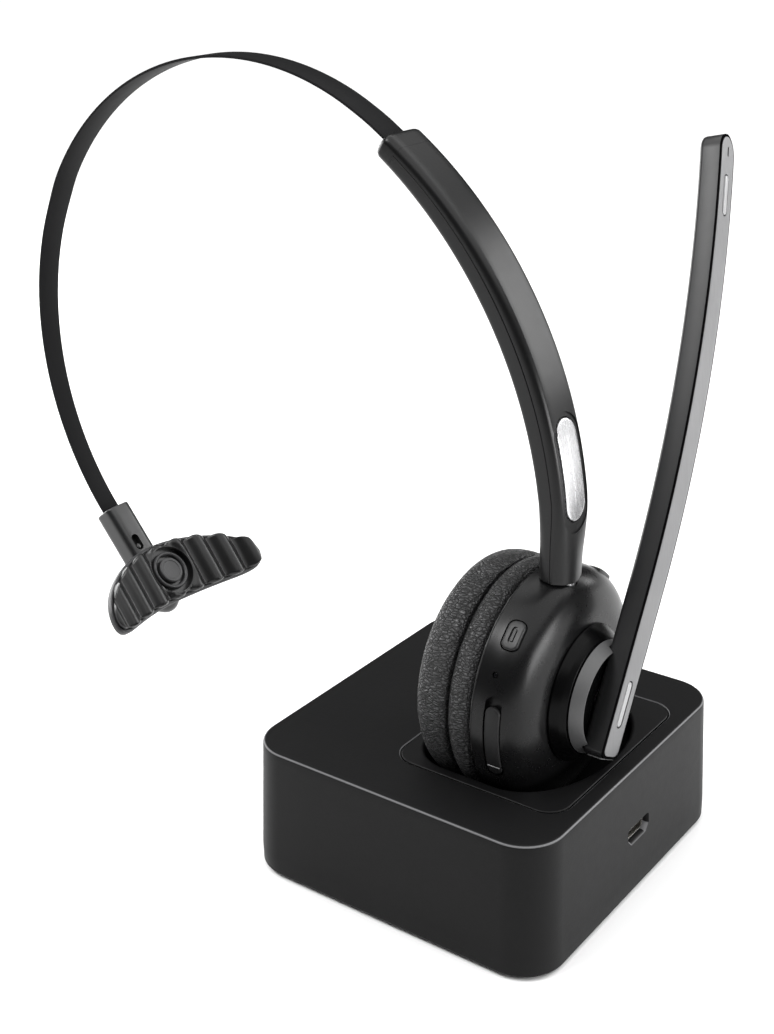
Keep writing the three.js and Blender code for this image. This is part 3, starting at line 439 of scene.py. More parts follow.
def key(name, w, l, r, x, phi, r0, top, e, material, body, slot, replaces, crown=0.0, n=6, mid=4):
    """A key cap with a rounded rim whose top follows radius `top` about the cup's axis."""
    loops = []
    loops.append([cup_place((u, v, r0), x, phi) for u, v in rrect(w, l, r, n=n)])
    surf = lambda u, v, drop: math.sqrt(max(1, top * top - v * v)) - drop - crown * ((2 * u / w) ** 2)
    levels = [(0, 1.0 * e)] + [(e * (1 - math.cos(a)), e * (1 - math.sin(a))) for a in [math.pi / 2 * k / 5 for k in range(6)]]
    for inset, drop in levels:
        loops.append([cup_place((u, v, surf(u, v, drop)), x, phi) for u, v in rrect(w - 2 * inset, l - 2 * inset, r - inset, n=n)])
    half = min(w, l) / 2 - e
    for k in range(1, mid + 1):
        i = e + half * 0.92 * k / mid
        loops.append([cup_place((u, v, surf(u, v, 0)), x, phi) for u, v in rrect(w - 2 * i, l - 2 * i, max(r - i, 0.05), n=n)])
    return make(name, *skin(loops), material, body, slot, replaces)

def prism(points, place, w0, w1):
    """cutter: outline (u, v) from w0 to w1 through place((u, v, w))"""
    return tool(*skin([[place((u, v, w0)) for u, v in points], [place((u, v, w1)) for u, v in points]]))

# ================================================================== charging dock
DOCK_H, PAD_T, WALL = 35.5, 0.8, 2.2
def dock_wh(z):
    return [b + (t - b) * z / DOCK_H for t, b in ((84.0, 86.5), (88.9, 91.4))]
def dock_loop(z, inset, r, n=14):
    w, h = dock_wh(z)
    return [(x, y, z) for x, y in rrect(w - 2 * inset, h - 2 * inset, r, n=n, straight=6)]
CR = (46.2, 58.8, 5.9, 14.3, 0.4)
def cradle_loop(z, grow, n=14):
    return [(x, y, z) for x, y in rrect(CR[0] + 2 * grow, CR[1] + 2 * grow, CR[2] + grow, CR[3], CR[4], n=n, straight=6)]
loops = [dock_loop(PAD_T, WALL, 8.9), dock_loop(PAD_T, 0.75, 10.4), dock_loop(PAD_T + 0.25, 0.3, 10.9), dock_loop(PAD_T + 0.7, 0.03, 11.1), dock_loop(PAD_T + 0.9, 0, 11.1)]
loops += [dock_loop(z, 0, 10.5) for z in (6, 14, 24, 33)]
e = 0.75
loops += [dock_loop(DOCK_H - e * (1 - math.sin(a)), e * (1 - math.cos(a)), 10.5 - e * (1 - math.cos(a))) for a in [math.pi / 2 * k / 5 for k in range(6)]]
loops += [dock_loop(DOCK_H, e + 0.12, 9.6), dock_loop(DOCK_H, e + 1.2, 8.6)]
loops += [cradle_loop(DOCK_H, 0.8), cradle_loop(DOCK_H, 0.6), cradle_loop(DOCK_H - 0.1, 0.45), cradle_loop(DOCK_H - 0.28, 0.3), cradle_loop(DOCK_H - 2.2, 0.3)]
loops += [dock_loop(DOCK_H - 2.25, WALL, 8.3), dock_loop(20, WALL, 8.6)]
shell = make('dock_body', *skin(loops, wrap=True), 'dock', None, None, angle=38)
# trapezoid mouth of the power socket, with a chamfered rim
PY, PZ = 1.5, 17.2
mouth = [(-3.3, -2.05, 0.4), (3.3, -2.05, 0.4), (4.9, -0.5, 0.5), (4.9, 2.05, 0.5), (-4.9, 2.05, 0.5), (-4.9, -0.5, 0.5)]
def mouth_pts(g):
    return fillet([(x * (1 + g / 4.9), z * (1 + g / 2.05), r + g) for x, z, r in mouth], 4)
cut1 = tool(*skin([[(x, PY + u, PZ + v) for u, v in mouth_pts(0)] for x in (36, 48)]))
cut2 = tool(*skin([[(x, PY + u, PZ + v) for u, v in mouth_pts(g)] for x, g in ((41.9, -0.1), (43.0, 0.62))]))
boolean(shell, [cut1, cut2], angle=38)
dress(shell, 'dock', 'dock_plastic', ['dock_shell'])

# cradle plate and well
def well_outline(n=120):
    """opening of the well: square-cornered behind, elliptical towards the socket side"""
    pts = []
    B, CX, A, P = 25.9, 18.0, 17.3, 2.1
    for k in range(n):
        a = -90 + 180 * k / n
        c, s = math.cos(a * D), math.sin(a * D)
        pts.append((CX + A * abs(c) ** (2 / P), math.copysign(B * abs(s) ** (2 / P), s)))
    for k in range(6):
        pts.append((CX - (CX - 4.5) * k / 6, B))
    for k in range(24):
        a = (90 + 90 * k / 24) * D
        pts.append((4.5 + 11 * math.cos(a), 14.9 + 11 * math.sin(a)))
    for k in range(8):
        pts.append((-6.5, 14.9 - 29.8 * k / 8))
    for k in range(24):
        a = (180 + 90 * k / 24) * D
        pts.append((4.5 + 11 * math.cos(a), -14.9 + 11 * math.sin(a)))
    for k in range(6):
        pts.append((4.5 + (CX - 4.5) * k / 6, -B))
    return pts
W0 = np.array(well_outline())
WC = np.array((14.4, 0.0))
def offset(pts, d):
    """outline grown by d along its own normals"""
    a = np.roll(pts, -1, 0) - np.roll(pts, 1, 0)
    nrm = np.stack([a[:, 1], -a[:, 0]], 1)
    nrm /= np.linalg.norm(nrm, axis=1)[:, None]
    return pts + nrm * d
def plate_ring(z, grow):
    """plate outline sampled in the well outline's directions"""
    out = []
    hw, hh, r = CR[0] / 2 + grow, CR[1] / 2 + grow, CR[2] + grow
    for p in W0:
        d = p - WC
        # walk along the ray until the rounded rectangle's border
        lo, hi = 0.0, 6.0
        for _ in range(40):
            m = (lo + hi) / 2
            q = WC + d * m
            dx, dy = abs(q[0] - CR[3]) - (hw - r), abs(q[1] - CR[4]) - (hh - r)
            inside = (max(dx, 0) ** 2 + max(dy, 0) ** 2) ** 0.5 + min(max(dx, dy), 0) < r
            lo, hi = (m, hi) if inside else (lo, m)
        q = WC + d * lo
        out.append((q[0], q[1], z))
    return out
RW = 30.3
def floor_z(y):
    return ZC - math.sqrt(max(RW * RW - y * y, 15.0))
loops = [plate_ring(DOCK_H - 2.0, 0), plate_ring(DOCK_H - 0.3, 0)]
e = 0.3
loops += [plate_ring(DOCK_H - e * (1 - math.sin(a)), -e * (1 - math.cos(a))) for a in [math.pi / 2 * k / 4 for k in range(1, 5)]]
loops += [plate_ring(DOCK_H, -0.42)]
e = 1.0
lip = offset(W0, e + 0.1)
loops += [[(p[0], p[1], DOCK_H) for p in lip]]
def blendz(p, z):
    return max(z, floor_z(p[1]) if abs(p[1]) < RW else z)
for k in range(7):
    a = math.pi / 2 * k / 6
    q = offset(W0, e * (1 - math.sin(a)))
    loops.append([(p[0], p[1], DOCK_H - e * (1 - math.cos(a))) for p in q])
# wall down to the floor, then the floor to its middle
prev = loops[-1]
for t in (0.25, 0.5, 0.75, 1.0):
    loops.append([(p[0], p[1], min(q[2], q[2] + (floor_z(p[1]) - q[2]) * t)) for p, q in zip(W0, prev)])
for s in (0.985, 0.96, 0.92, 0.86, 0.78, 0.68, 0.56, 0.42, 0.28, 0.14):
    q = WC + (W0 - WC) * s
    loops.append([(p[0], p[1], min(DOCK_H - e, floor_z(p[1]))) for p in q])
verts, faces = skin(loops, cap=(False, True))
cradle = make('cradle_plate', verts, faces, 'cradle', None, None, angle=34, recalc=False)
sol = cradle.modifiers.new('s', 'SOLIDIFY'); sol.thickness = 0.0013; sol.offset = -1
settle(cradle); shade(cradle, 34)
for s in (-1, 1):
    ring = [(17.5 + 1.9 * math.cos(a), s * 4 + 1.9 * math.sin(a)) for a in [2 * math.pi * k / 28 for k in range(28)]]
    boolean(cradle, [tool(*skin([[(x, y, z) for x, y in ring] for z in (16, 24)]))], angle=34)
dress(cradle, 'dock', 'cradle_plastic', ['dock_cradle'])

# ================================================================== ear cup
HOUSING = [(14.0, 29.2), (14.5, 29.6), (17.0, 29.65), (19.3, 29.5), (21.4, 29.0), (23.3, 27.8), (24.9, 25.9), (26.1, 23.2), (26.8, 20.3), (27.0, 17.2)]
outer = [tuple(p) for p in smooth_path(HOUSING[1:], 5)]
inner = [(27.0, 5.7), (25.2, 5.7), (25.2, 17.0), (23.9, 22.6), (21.6, 26.2), (18.6, 27.6), (14.0, 27.8), (14.0, 29.0), (14.15, 29.35)]
housing = make('cup_casing', *lathe_x(outer + inner, 216), 'satin', None, None, angle=30)
POWER = dict(x=19.6, phi=-43, w=4.2, l=7.3)
LED = dict(x=18.7, phi=-62.2, r=0.6)
FLAP = dict(x=19.7, phi=-94.5, w=3.7, half=9.3, crease=-107.6)
ROCKER = dict(x=20.0, phi=39, w=4.2, l=8.2)
def on(x, phi):
    return lambda p: cup_place(p, x, phi)
cyl = lambda r, x0=8, x1=32, seg=216: tool(*lathe_x([(x0, 0.0), (x0, r), (x1, r), (x1, 0.0)], seg, wrap=False))
def radial_pocket(outline_pts, x, phi, floor_r):
    """cutter that opens the casing down to a floor of radius floor_r"""
    o = prism(outline_pts, on(x, phi), 20, 34)
    return boolean(o, [cyl(floor_r)])
cuts = [
    prism(rrect(POWER['w'] + 0.5, POWER['l'] + 0.5, 1.85), on(POWER['x'], POWER['phi']), 24, 33),
    prism(rrect(ROCKER['w'] + 0.6, ROCKER['l'] + 1.0, 2.2), on(ROCKER['x'], ROCKER['phi']), 24, 33),
    prism([(0.75 * math.cos(a), 0.75 * math.sin(a)) for a in [2 * math.pi * k / 24 for k in range(24)]], on(LED['x'], LED['phi']), 24, 33),
    tool(*skin([[(20.6 + 3.4 * math.cos(a), 3.4 * math.sin(a), z) for a in [2 * math.pi * k / 40 for k in range(40)]] for z in (66, 84)])),
    radial_pocket(rrect(FLAP['w'] + 0.5, 2 * FLAP['half'] + 1.0, FLAP['w'] / 2 + 0.24), FLAP['x'], FLAP['phi'], 28.35),
    radial_pocket(rrect(FLAP['w'] + 0.3, 5.6, FLAP['w'] / 2 + 0.1), FLAP['x'], FLAP['phi'] + 17.6, 28.05),
    prism(rrect(3.3, 8.4, 0.8), on(FLAP['x'], -92), 20, 30),
]
for s in (-1, 1):
    cuts.append(tool(*skin([[(17.5 + 2.15 * math.cos(a), s * 4 + 2.15 * math.sin(a), z) for a in [2 * math.pi * k / 24 for k in range(24)]] for z in (18, 26)])))
for c in cuts:
    boolean(housing, [c], angle=30)
dress(housing, 'cup', 'cup_plastic', ['cup_housing'])

bez = fillet([(27.05, 5.7), (27.05, 17.0, 0.1), (27.6, 17.0, 0.35), (29.4, 15.6, 1.2), (30.6, 14.4, 0.25), (30.6, 5.7)], 5)
make('pivot_bezel', *lathe_x(bez, 160), 'gloss', 'cup', 'bezel_gloss', ['bezel_ring'])

# keys
power = key('power_key', POWER['w'], POWER['l'], 1.6, POWER['x'], POWER['phi'], 26.3, 29.75, 0.35, 'key', None, None, ())
ringp = rrect(1.5, 4.1, 0.7, n=8)
boolean(power, [prism(ringp, on(POWER['x'], POWER['phi']), 29.3, 32)])
dress(power, 'power_button', 'key_plastic', ['power_button'])
bar = key('power_key_bar', 0.8, 3.3, 0.38, POWER['x'], POWER['phi'], 29.0, 29.62, 0.1, 'key', 'power_button', 'key_plastic', ())
rock = key('volume_key', ROCKER['w'], ROCKER['l'], 1.9, ROCKER['x'], ROCKER['phi'], 26.3, 29.68, 0.4, 'key', None, None, (), crown=0.12)
boolean(rock, [prism([(0.45 * math.cos(a), 0.45 * math.sin(a)) for a in [2 * math.pi * k / 20 for k in range(20)]], on(ROCKER['x'], ROCKER['phi']), 29.2, 33)])
dress(rock, 'volume_rocker', 'key_plastic', ['volume_rocker'])
led = key('status_lens', 1.1, 1.1, 0.54, LED['x'], LED['phi'], 27.2, 29.45, 0.15, 'lens', 'cup', 'led_clear', ['led_lens'])

# rubber flap in two parts, split at its crease
def flap_piece(name, v0, v1, body, replaces, extra=False):
    """strip of the capsule between arc positions v0..v1 (mm round the cup from the capsule's middle)"""
    w, half = FLAP['w'], FLAP['half']
    hw = w / 2
    vs = np.linspace(v0, v1, 46)
    def halfw(v):
        d = abs(v) - (half - hw)
        return hw if d <= 0 else math.sqrt(max(hw * hw - d * d, 0.02))
    loops = []
    for v in vs:
        h = halfw(v)
        ph = FLAP['phi'] + (-v) / 29.5 / D * 1.0
        row = []
        prof = [(-h, 28.62), (-h, 29.28), (-h + 0.1, 29.44), (-h + 0.25, 29.5), (0, 29.5), (h - 0.25, 29.5), (h - 0.1, 29.44), (h, 29.28), (h, 28.62), (0, 28.62)]
        for u, rr in prof:
            row.append((FLAP['x'] + u, rr * math.sin(ph * D), ZC + rr * math.cos(ph * D)))
        loops.append(row)
    o = make(name, *skin(loops), 'flap', None, None, angle=40)
    dress(o, body, 'flap_rubber', replaces)
    return o
# arc position of the crease, measured from the middle, positive downwards
vc = (FLAP['phi'] - FLAP['crease']) * D * 29.5
flap_piece('socket_flap', -FLAP['half'] + 0.05, vc - 0.15, 'usb_flap', ['usb_flap'])
flap_piece('socket_flap_tab', vc + 0.15, FLAP['half'] - 0.05, 'cup', ['flap_tab'])

# pale strip in the crease where the flap folds: a painted highlight line standing in for the crease's shine
key('flap_crease_highlight_strip', 3.3, 0.34, 0.12, FLAP['x'], FLAP['crease'], 28.5, 29.56, 0.08, 'edge', 'cup', 'flap_rubber', ())

# speaker cloth: shallow dome
prof = [(11.5 - 0.6 * math.cos(min(1, r / 15.2) * math.pi / 2) ** 1, r) for r in np.linspace(0.0, 24.0, 22)] + [(11.85, 24.0), (11.85, 0.0)]
make('speaker_mesh', *lathe_x(prof, 96, wrap=False), 'cloth', 'cup', 'speaker_fabric', ['speaker_cloth'])

# ------------------------------------------------------------------ cushion: cloth simulation
def padded_ring(name, profile, seg, pinned, shrink, cap, frames, replaces, pressure, wrinkle):
    """Closed ring whose loose skin is blown up against its pinned seam, then capped and smoothed."""
    verts, faces = lathe_x([(x, r) for x, r, _ in profile], seg)
    o = make(name, verts, faces, 'leather', None, None, angle=70)
    n = len(profile)
    rest = np.array([v.co for v in o.data.vertices])
    pin = o.vertex_groups.new(name='pin')
    rr = np.hypot(rest[:, 1], rest[:, 2] - ZC / 1000) * 1000
    xx = rest[:, 0] * 1000
    hold = [i for i in range(len(rest)) if pinned(xx[i], rr[i])]
    pin.add(hold, 1.0, 'REPLACE')
    cl = o.modifiers.new('cloth', 'CLOTH')
    st = cl.settings
    st.quality = 6
    st.mass = 0.15
    st.tension_stiffness = 12; st.compression_stiffness = 12; st.shear_stiffness = 6; st.bending_stiffness = 0.15
    st.use_pressure = True
    st.uniform_pressure_force = pressure
    st.vertex_group_mass = 'pin'
    st.shrink_min = shrink
    st.effector_weights.gravity = 0
    cl.collision_settings.use_collision = False
    cl.point_cache.frame_start = 1
    cl.point_cache.frame_end = frames
    sc = bpy.context.scene
    for f in range(1, frames + 1):
        sc.frame_set(f)
    dg = bpy.context.evaluated_depsgraph_get()
    ev = o.evaluated_get(dg).data
    got = np.array([v.co for v in ev.vertices])
    o.modifiers.clear()
    move = got - rest
    length = np.linalg.norm(move, axis=1)
    limit = cap / 1000
    scale = np.where(length > limit, limit / np.maximum(length, 1e-12), 1)
    got = rest + move * scale[:, None]
    print(name, 'moved up to', round(float(length.max()) * 1000, 2), 'mm')
    o.data.vertices.foreach_set('co', got.astype(np.float32).ravel())
    o.data.update()
    sc.frame_set(1)
    sub = o.modifiers.new('s', 'SUBSURF'); sub.levels = 1; sub.render_levels = 1
    settle(o); shade(o, 70)
    dress(o, 'cup', 'leatherette', replaces)
    return o

def pts3(path, tag=0):
    return [(p[0], p[1], tag) for p in path]
front = smooth_path([(10.9, 15.4), (4.0, 15.2), (-0.3, 15.25), (-3.1, 16.5), (-4.75, 19.0), (-5.0, 21.6), (-4.6, 24.2), (-3.1, 26.7), (-0.9, 28.35), (2.0, 29.0), (4.6, 29.05), (6.0, 28.5), (6.55, 27.3), (6.6, 26.4)], 3)
prof = pts3(front) + [(6.6, 25.4, 1), (6.6, 24.6, 1), (8.8, 24.5, 1), (10.9, 24.5, 1), (10.95, 20, 1)]
cushion = padded_ring('ear_pad', prof, 132, lambda x, r: x > 6.3 and 20 < r < 28.0 or x > 8.5, -0.02, 0.7, 18, ['ear_cushion'], 2.5, 0)
skirt = smooth_path([(6.85, 26.0), (6.88, 27.6), (7.25, 28.75), (8.6, 29.4), (10.4, 29.65), (12.0, 29.5), (13.0, 29.0), (13.25, 28.2)], 3)
prof = pts3(skirt) + [(13.3, 26.5, 1), (13.3, 24.9, 1), (10.0, 24.9, 1), (6.95, 24.9, 1)]
padded_ring('ear_pad_skirt', prof, 132, lambda x, r: r < 28.0 or x > 12.9, -0.01, 0.35, 14, ['cushion_skirt'], 1.5, 0)

# ================================================================== microphone boom
TILT, BW, BT, FACE, TIP, FOOT, BEND, STRAIGHT = 29, 9.2, 5.6, 38.1, 138.4, -13.3, 0.00109, 27.3
ca, sa = math.cos(TILT * D), math.sin(TILT * D)
def boom_world(x, y, r):
    return (x, y * ca + r * sa, ZC - y * sa + r * ca)
def face_x(r):
    return FACE - (BEND * (r - STRAIGHT) ** 2 if r > STRAIGHT else 0)
def boom_pt(y, r, d):
    """point at width y, radius r along the boom, depth d below the outer face"""
    s = -2 * BEND * (r - STRAIGHT) if r > STRAIGHT else 0
    l = math.hypot(1, s)
    return boom_world(face_x(r) - d / l, y, r + d * s / l)
def boom_half(r, inset, rf=1.9):
    """half width of the outline at radius r"""
    h = BW / 2 - inset
    top, foot = TIP - inset, FOOT + inset
    t = r - (top - h)
    w = math.sqrt(max(h * h - t * t, 0)) if t > 0 else h
    b = (foot + rf) - r
    if b > 0:
        w = min(w, h - rf + math.sqrt(max(rf * rf - b * b, 0)))
    return w
def boom_stations(inset, rf=1.9):
    h = BW / 2 - inset
    top, foot = TIP - inset, FOOT + inset
    rs = [foot + rf * (1 - math.cos(a)) for a in [math.pi / 2 * k / 8 for k in range(9)]]
    rs += list(np.linspace(foot + rf, STRAIGHT, 12))[1:]
    rs += list(np.linspace(STRAIGHT, top - h, 46))[1:]
    rs += [top - h + h * math.sin(a) for a in [math.pi / 2 * k / 16 for k in range(1, 17)]]
    return rs
def boom_layer(name, d0, d1, e0, e1, inset, material, slot, body='boom'):
    """plate between depths d0 and d1, with rims rounded by e0 (outer) and e1 (inner)"""
    loops = []
    for r in boom_stations(inset):
        w = max(boom_half(r, inset), 0.02)
        sec = []
        def corner(sign, d, e, inner):
            e = min(e, w * 0.9)
            out = []
            for k in range(5):
                a = math.pi / 2 * k / 4
                if not inner:
                    out.append((sign * (w - e + e * math.sin(a)), d + e * (1 - math.cos(a))))
                else:
                    out.append((sign * (w - e + e * math.cos(a)), d - e + e * math.sin(a)))
            return out
        right = corner(1, d0, e0, False) + corner(1, d1, e1, True)
        left = [(-y, d) for y, d in reversed(right)]
        mid_top = [(y, d0) for y in np.linspace(-(w - min(e0, w * .9)), w - min(e0, w * .9), 7)[1:-1]]
        mid_bot = [(y, d1) for y in np.linspace(w - min(e1, w * .9), -(w - min(e1, w * .9)), 7)[1:-1]]
        sec = mid_top + right + mid_bot + left
        loops.append([boom_pt(y, r, d) for y, d in sec])
    return make(name, *skin(loops), material, None, None, angle=40)

MUTE_HALF, MUTE_W, PILL_R, PILL_HALF = 5.5, 2.2, 123.6, 4.9
face = boom_layer('boom_cover', 0.0, 0.9, 0.12, 0.05, 0.7, 'face', None)
tilt_p = math.atan(2 * BEND * (PILL_R - STRAIGHT))
def pill_place(p):
    """local (u across, v along, w outwards) at the upper inlay"""
    u, v, w = p
    c, s = math.cos(tilt_p), math.sin(tilt_p)
    return boom_world(face_x(PILL_R) + w * c - v * s, u, PILL_R + v * c + w * s)
def mute_place(p):
    u, v, w = p
    return boom_world(FACE + w, u, v)
boolean(face, [prism(rrect(MUTE_W + 0.9, 2 * MUTE_HALF + 0.6, MUTE_W / 2 + 0.44, n=10), mute_place, -8, 7)])
boolean(face, [prism(rrect(MUTE_W + 0.9, 2 * PILL_HALF + 0.6, MUTE_W / 2 + 0.44, n=10), pill_place, -1.4, 3)])
MIC_R = 134.2
boolean(face, [prism(rrect(0.8, 2.4, 0.38, n=8), lambda p: boom_world(p[2], p[0], MIC_R + p[1]), 15, 45)], angle=40)
dress(face, 'boom', 'boom_face_metal', ['boom_face'])
# painted shade: the rim layer uses a darker, non-reflecting copy of the boom body's plastic
rim = boom_layer('boom_rim', 0.1, 0.43, 0.2, 0.02, 0.0, 'rim', None)
boolean(rim, [boom_layer('cutter', -0.6, 0.96, 0.05, 0.05, 0.65, 'base', None)], angle=40)
dress(rim, 'boom', 'boom_plastic', ['boom_body'])
body = boom_layer('boom_back', 0.44, BT, 0.02, 1.0, 0.0, 'boom_dark', None)
boolean(body, [boom_layer('cutter', -0.6, 0.96, 0.05, 0.05, 0.65, 'base', None)], angle=40)
boolean(body, [prism(rrect(MUTE_W + 0.5, 2 * MUTE_HALF + 0.5, MUTE_W / 2 + 0.24, n=10), mute_place, -3.4, 7)], angle=40)
dress(body, 'boom', 'boom_plastic', ['boom_body'])
def pill(name, w, half, place, w0, w1, e, material, body_name, slot, replaces):
    loops = []
    for ww, hh, rr, z in edge_round(w, 2 * half, w / 2 - 0.01, w0, w1, e, bottom=False):
        loops.append([place((u, v, z)) for u, v in rrect(ww, hh, rr, n=10)])
    return make(name, *skin(loops), material, body_name, slot, replaces)
pill('mute_key', MUTE_W, MUTE_HALF, mute_place, -2.6, 0.05, 0.35, 'edge', 'mute_button', 'boom_key', ['mute_button'])
pill('mic_inlay', MUTE_W, PILL_HALF, pill_place, -0.93, 0.16, 0.3, 'edge', 'boom', 'boom_key', ['boom_inlay'])

# the cover's lip under the boom's foot
loops = []
for g, dr in ((0.0, -0.02), (0.0, -0.16), (0.06, -0.24), (0.16, -0.28)):
    w, t = BW / 2 - 1.0 - g, BT - 1.3 - g
    ring = rrect(2 * w, t - 0.5 - g, 0.3, 0, (t + 0.5 + g) / 2, n=3, straight=3)
    loops.append([boom_world(FACE - d, y, FOOT + dr) for y, d in ring])
make('boom_foot_lip', *skin(loops), 'face', 'boom', 'boom_face_metal')

# hub ring and disc
def boom_lathe(profile, seg=144):
    verts, faces = [], []
    n = len(profile)
    for i in range(seg):
        a = 2 * math.pi * i / seg
        verts += [boom_world(x, r * math.sin(a), r * math.cos(a)) for x, r in profile]
    for k in range(seg):
        a, b = k * n, ((k + 1) % seg) * n
        for i in range(n):
            j = (i + 1) % n
            faces.append((a + i, a + j, b + j, b + i))
    return verts, faces
trim = make('pivot_trim', *boom_lathe(fillet([(30.9, 11.9), (30.9, 14.1, 0.12), (33.8, 12.1, 0.12), (33.8, 11.9, 0.05)], 3)), 'trim', None, None)
slotbox = [(-BW / 2 - 0.15, -20), (BW / 2 + 0.15, -20), (BW / 2 + 0.15, 20), (-BW / 2 - 0.15, 20)]
boolean(trim, [tool(*skin([[boom_world(x, y, r) for y, r in slotbox] for x in (32.3, 40)]))])
dress(trim, 'boom', 'trim_metal', ['hub_trim_ring'])
make('pivot_disc', *boom_lathe(fillet([(31.0, 4.3), (31.0, 11.7), (31.8, 11.7, 0.2), (31.9, 11.0, 0.3), (32.3, 9.0, 0.3), (32.3, 4.3)], 4)), 'gloss', 'boom', 'hub_gloss', ['hub_disc'])

# ================================================================== headband arm
AC = np.array((-87.2, 87.1)); ARM_R = 111.3; BAND_R = 108.8
TIPA, CAPA = 55.6, 52.9
def r_in(deg):
    return 104.65 + 0.0009 * (deg - 22) ** 2
def st_arc(deg):
    a = deg * D
    o = ARM_R
    return dict(p=AC + o * np.array((math.cos(a), math.sin(a))), n=-np.array((math.cos(a), math.sin(a))), T=o - r_in(deg), b=o - BAND_R, w=6.7, ro=1.9, ri=1.3, c=0.0)
def neck(p, T, b, w, ro, ri, n=(-1, 0), c=0.0):
    n = np.array(n, float)
    return dict(p=np.array(p, float), n=n / np.linalg.norm(n), T=T, b=b, w=w, ro=ro, ri=ri, c=c)
KEYS = [st_arc(9.0), st_arc(6.6), neck((23.72, 95.2), 6.75, 2.85, 6.62, 2.2, 1.9, (-1, -0.03)), neck((23.93, 89.5), 7.15, 3.25, 6.5, 2.5, 2.7, c=0.7), neck((23.95, 84), 7.4, 3.4, 6.35, 2.7, 3, c=1.5), neck((23.95, 70), 7.5, 3.4, 6.3, 2.7, 3, c=1.7)]
def arm_stations(start):
    out = [st_arc(d) for d in np.arange(start, 9.0, -1.0)]
    flat = [np.concatenate([k['p'], k['n'], [k['T'], k['b'], k['w'], k['ro'], k['ri'], k['c']]]) for k in KEYS]
    for q in smooth_path(flat, 6):
        n = q[2:4] / np.linalg.norm(q[2:4])
        out.append(dict(p=q[:2], n=n, T=q[4], b=q[5], w=q[6], ro=q[7], ri=q[8], c=q[9]))
    return out
def arc(cx, cy, r, a0, a1, n):
    return [(cx + r * math.cos((a0 + (a1 - a0) * i / n) * D), cy + r * math.sin((a0 + (a1 - a0) * i / n) * D)) for i in range(n + 1)]
SEAM = 0.09
def arm_section(s, half):
    T, b, w, ro, ri = (s[k] for k in ('T', 'b', 'w', 'ro', 'ri'))
    g = SEAM
    if half == 'outer':
        m = b - 0.05
        top = [(y, 0) for y in np.linspace(-w + ro, w - ro, 7)[1:-1]]
        return [(-w + g, m), (-w, m - g)] + arc(-w + ro, ro, ro, 180, 270, 7) + top + arc(w - ro, ro, ro, 270, 360, 7) + [(w, m - g), (w - g, m), (4.7, m), (4.7, m - 0.6), (-4.7, m - 0.6), (-4.7, m)]
    if half == 'inner':
        m = b + 0.05
        bot = [(y, T) for y in np.linspace(w - ri, -w + ri, 7)[1:-1]]
        return [(w - g, m), (w, m + g)] + arc(w - ri, T - ri, ri, 0, 90, 6) + bot + arc(-w + ri, T - ri, ri, 90, 180, 6) + [(-w, m + g), (-w + g, m), (-4.7, m), (-4.7, m + 0.6), (4.7, m + 0.6), (4.7, m)]
    bot = [(y, T) for y in np.linspace(w - ri, -w + ri, 7)[1:-1]]
    top = [(y, 0) for y in np.linspace(-w + ro, w - ro, 7)[1:-1]]
    return arc(-w + ro, ro, ro, 180, 270, 7) + top + arc(w - ro, ro, ro, 270, 360, 7) + arc(w - ri, T - ri, ri, 0, 90, 6) + bot + arc(-w + ri, T - ri, ri, 90, 180, 6)
def place(s, q):
    y, d = q
    if s.get('c') and d < s['b'] - 0.3:
        d = d + s['c'] * (y / s['w']) ** 2 * (1 - d / s['b'])
    return (s['p'][0] + s['n'][0] * d, y, s['p'][1] + s['n'][1] * d)
def sweep(sts, half, name, material):
    """loft with end faces filled as n-gons, since the sections are not convex"""
    loops = [[place(s, q) for q in arm_section(s, half)] for s in sts]
    verts, faces = skin(loops, cap=(False, False))
    n = len(loops[0])
    faces.append(tuple(range(n))[::-1])
    faces.append(tuple(range((len(loops) - 1) * n, len(loops) * n)))
    return make(name, verts, faces, material, None, None, angle=30)
sts = arm_stations(CAPA)
outer_shell = sweep(sts, 'outer', 'arm_outer', 'arm')
inner_shell = sweep(sts, 'inner', 'arm_inner', 'arm')
def saddle(yaw):
    """casing grown by its clearance, turned about the swivel axis"""
    prof = [(13.5, 0.0), (13.5, 30.0)] + [(x + 0.3, r + 0.38) for x, r in [tuple(p) for p in smooth_path(HOUSING[2:], 4)]] + [(27.4, 0.0)]
    verts, faces = lathe_x(prof, 128, wrap=False)
    c, s = math.cos(yaw * D), math.sin(yaw * D)
    return tool([((x - 20.6) * c - y * s + 20.6, (x - 20.6) * s + y * c, z) for x, y, z in verts], faces)
def boxcut(x0, x1, y0, y1, z0, z1):
    ring = [(x0, y0), (x1, y0), (x1, y1), (x0, y1)]
    return tool(*skin([[(x, y, z) for x, y in ring] for z in (z0, z1)]))
for o in (outer_shell, inner_shell):
    boolean(o, [boxcut(0, 40, -20, 20, 50, 74)], angle=30)
    for yaw in (-10, 0, 10):
        boolean(o, [saddle(yaw)], angle=30)
    boolean(o, [tool(*skin([[(20.6 + 3.1 * math.cos(a), 3.1 * math.sin(a), z) for a in [2 * math.pi * k / 32 for k in range(32)]] for z in (60, 90)]))], angle=30)
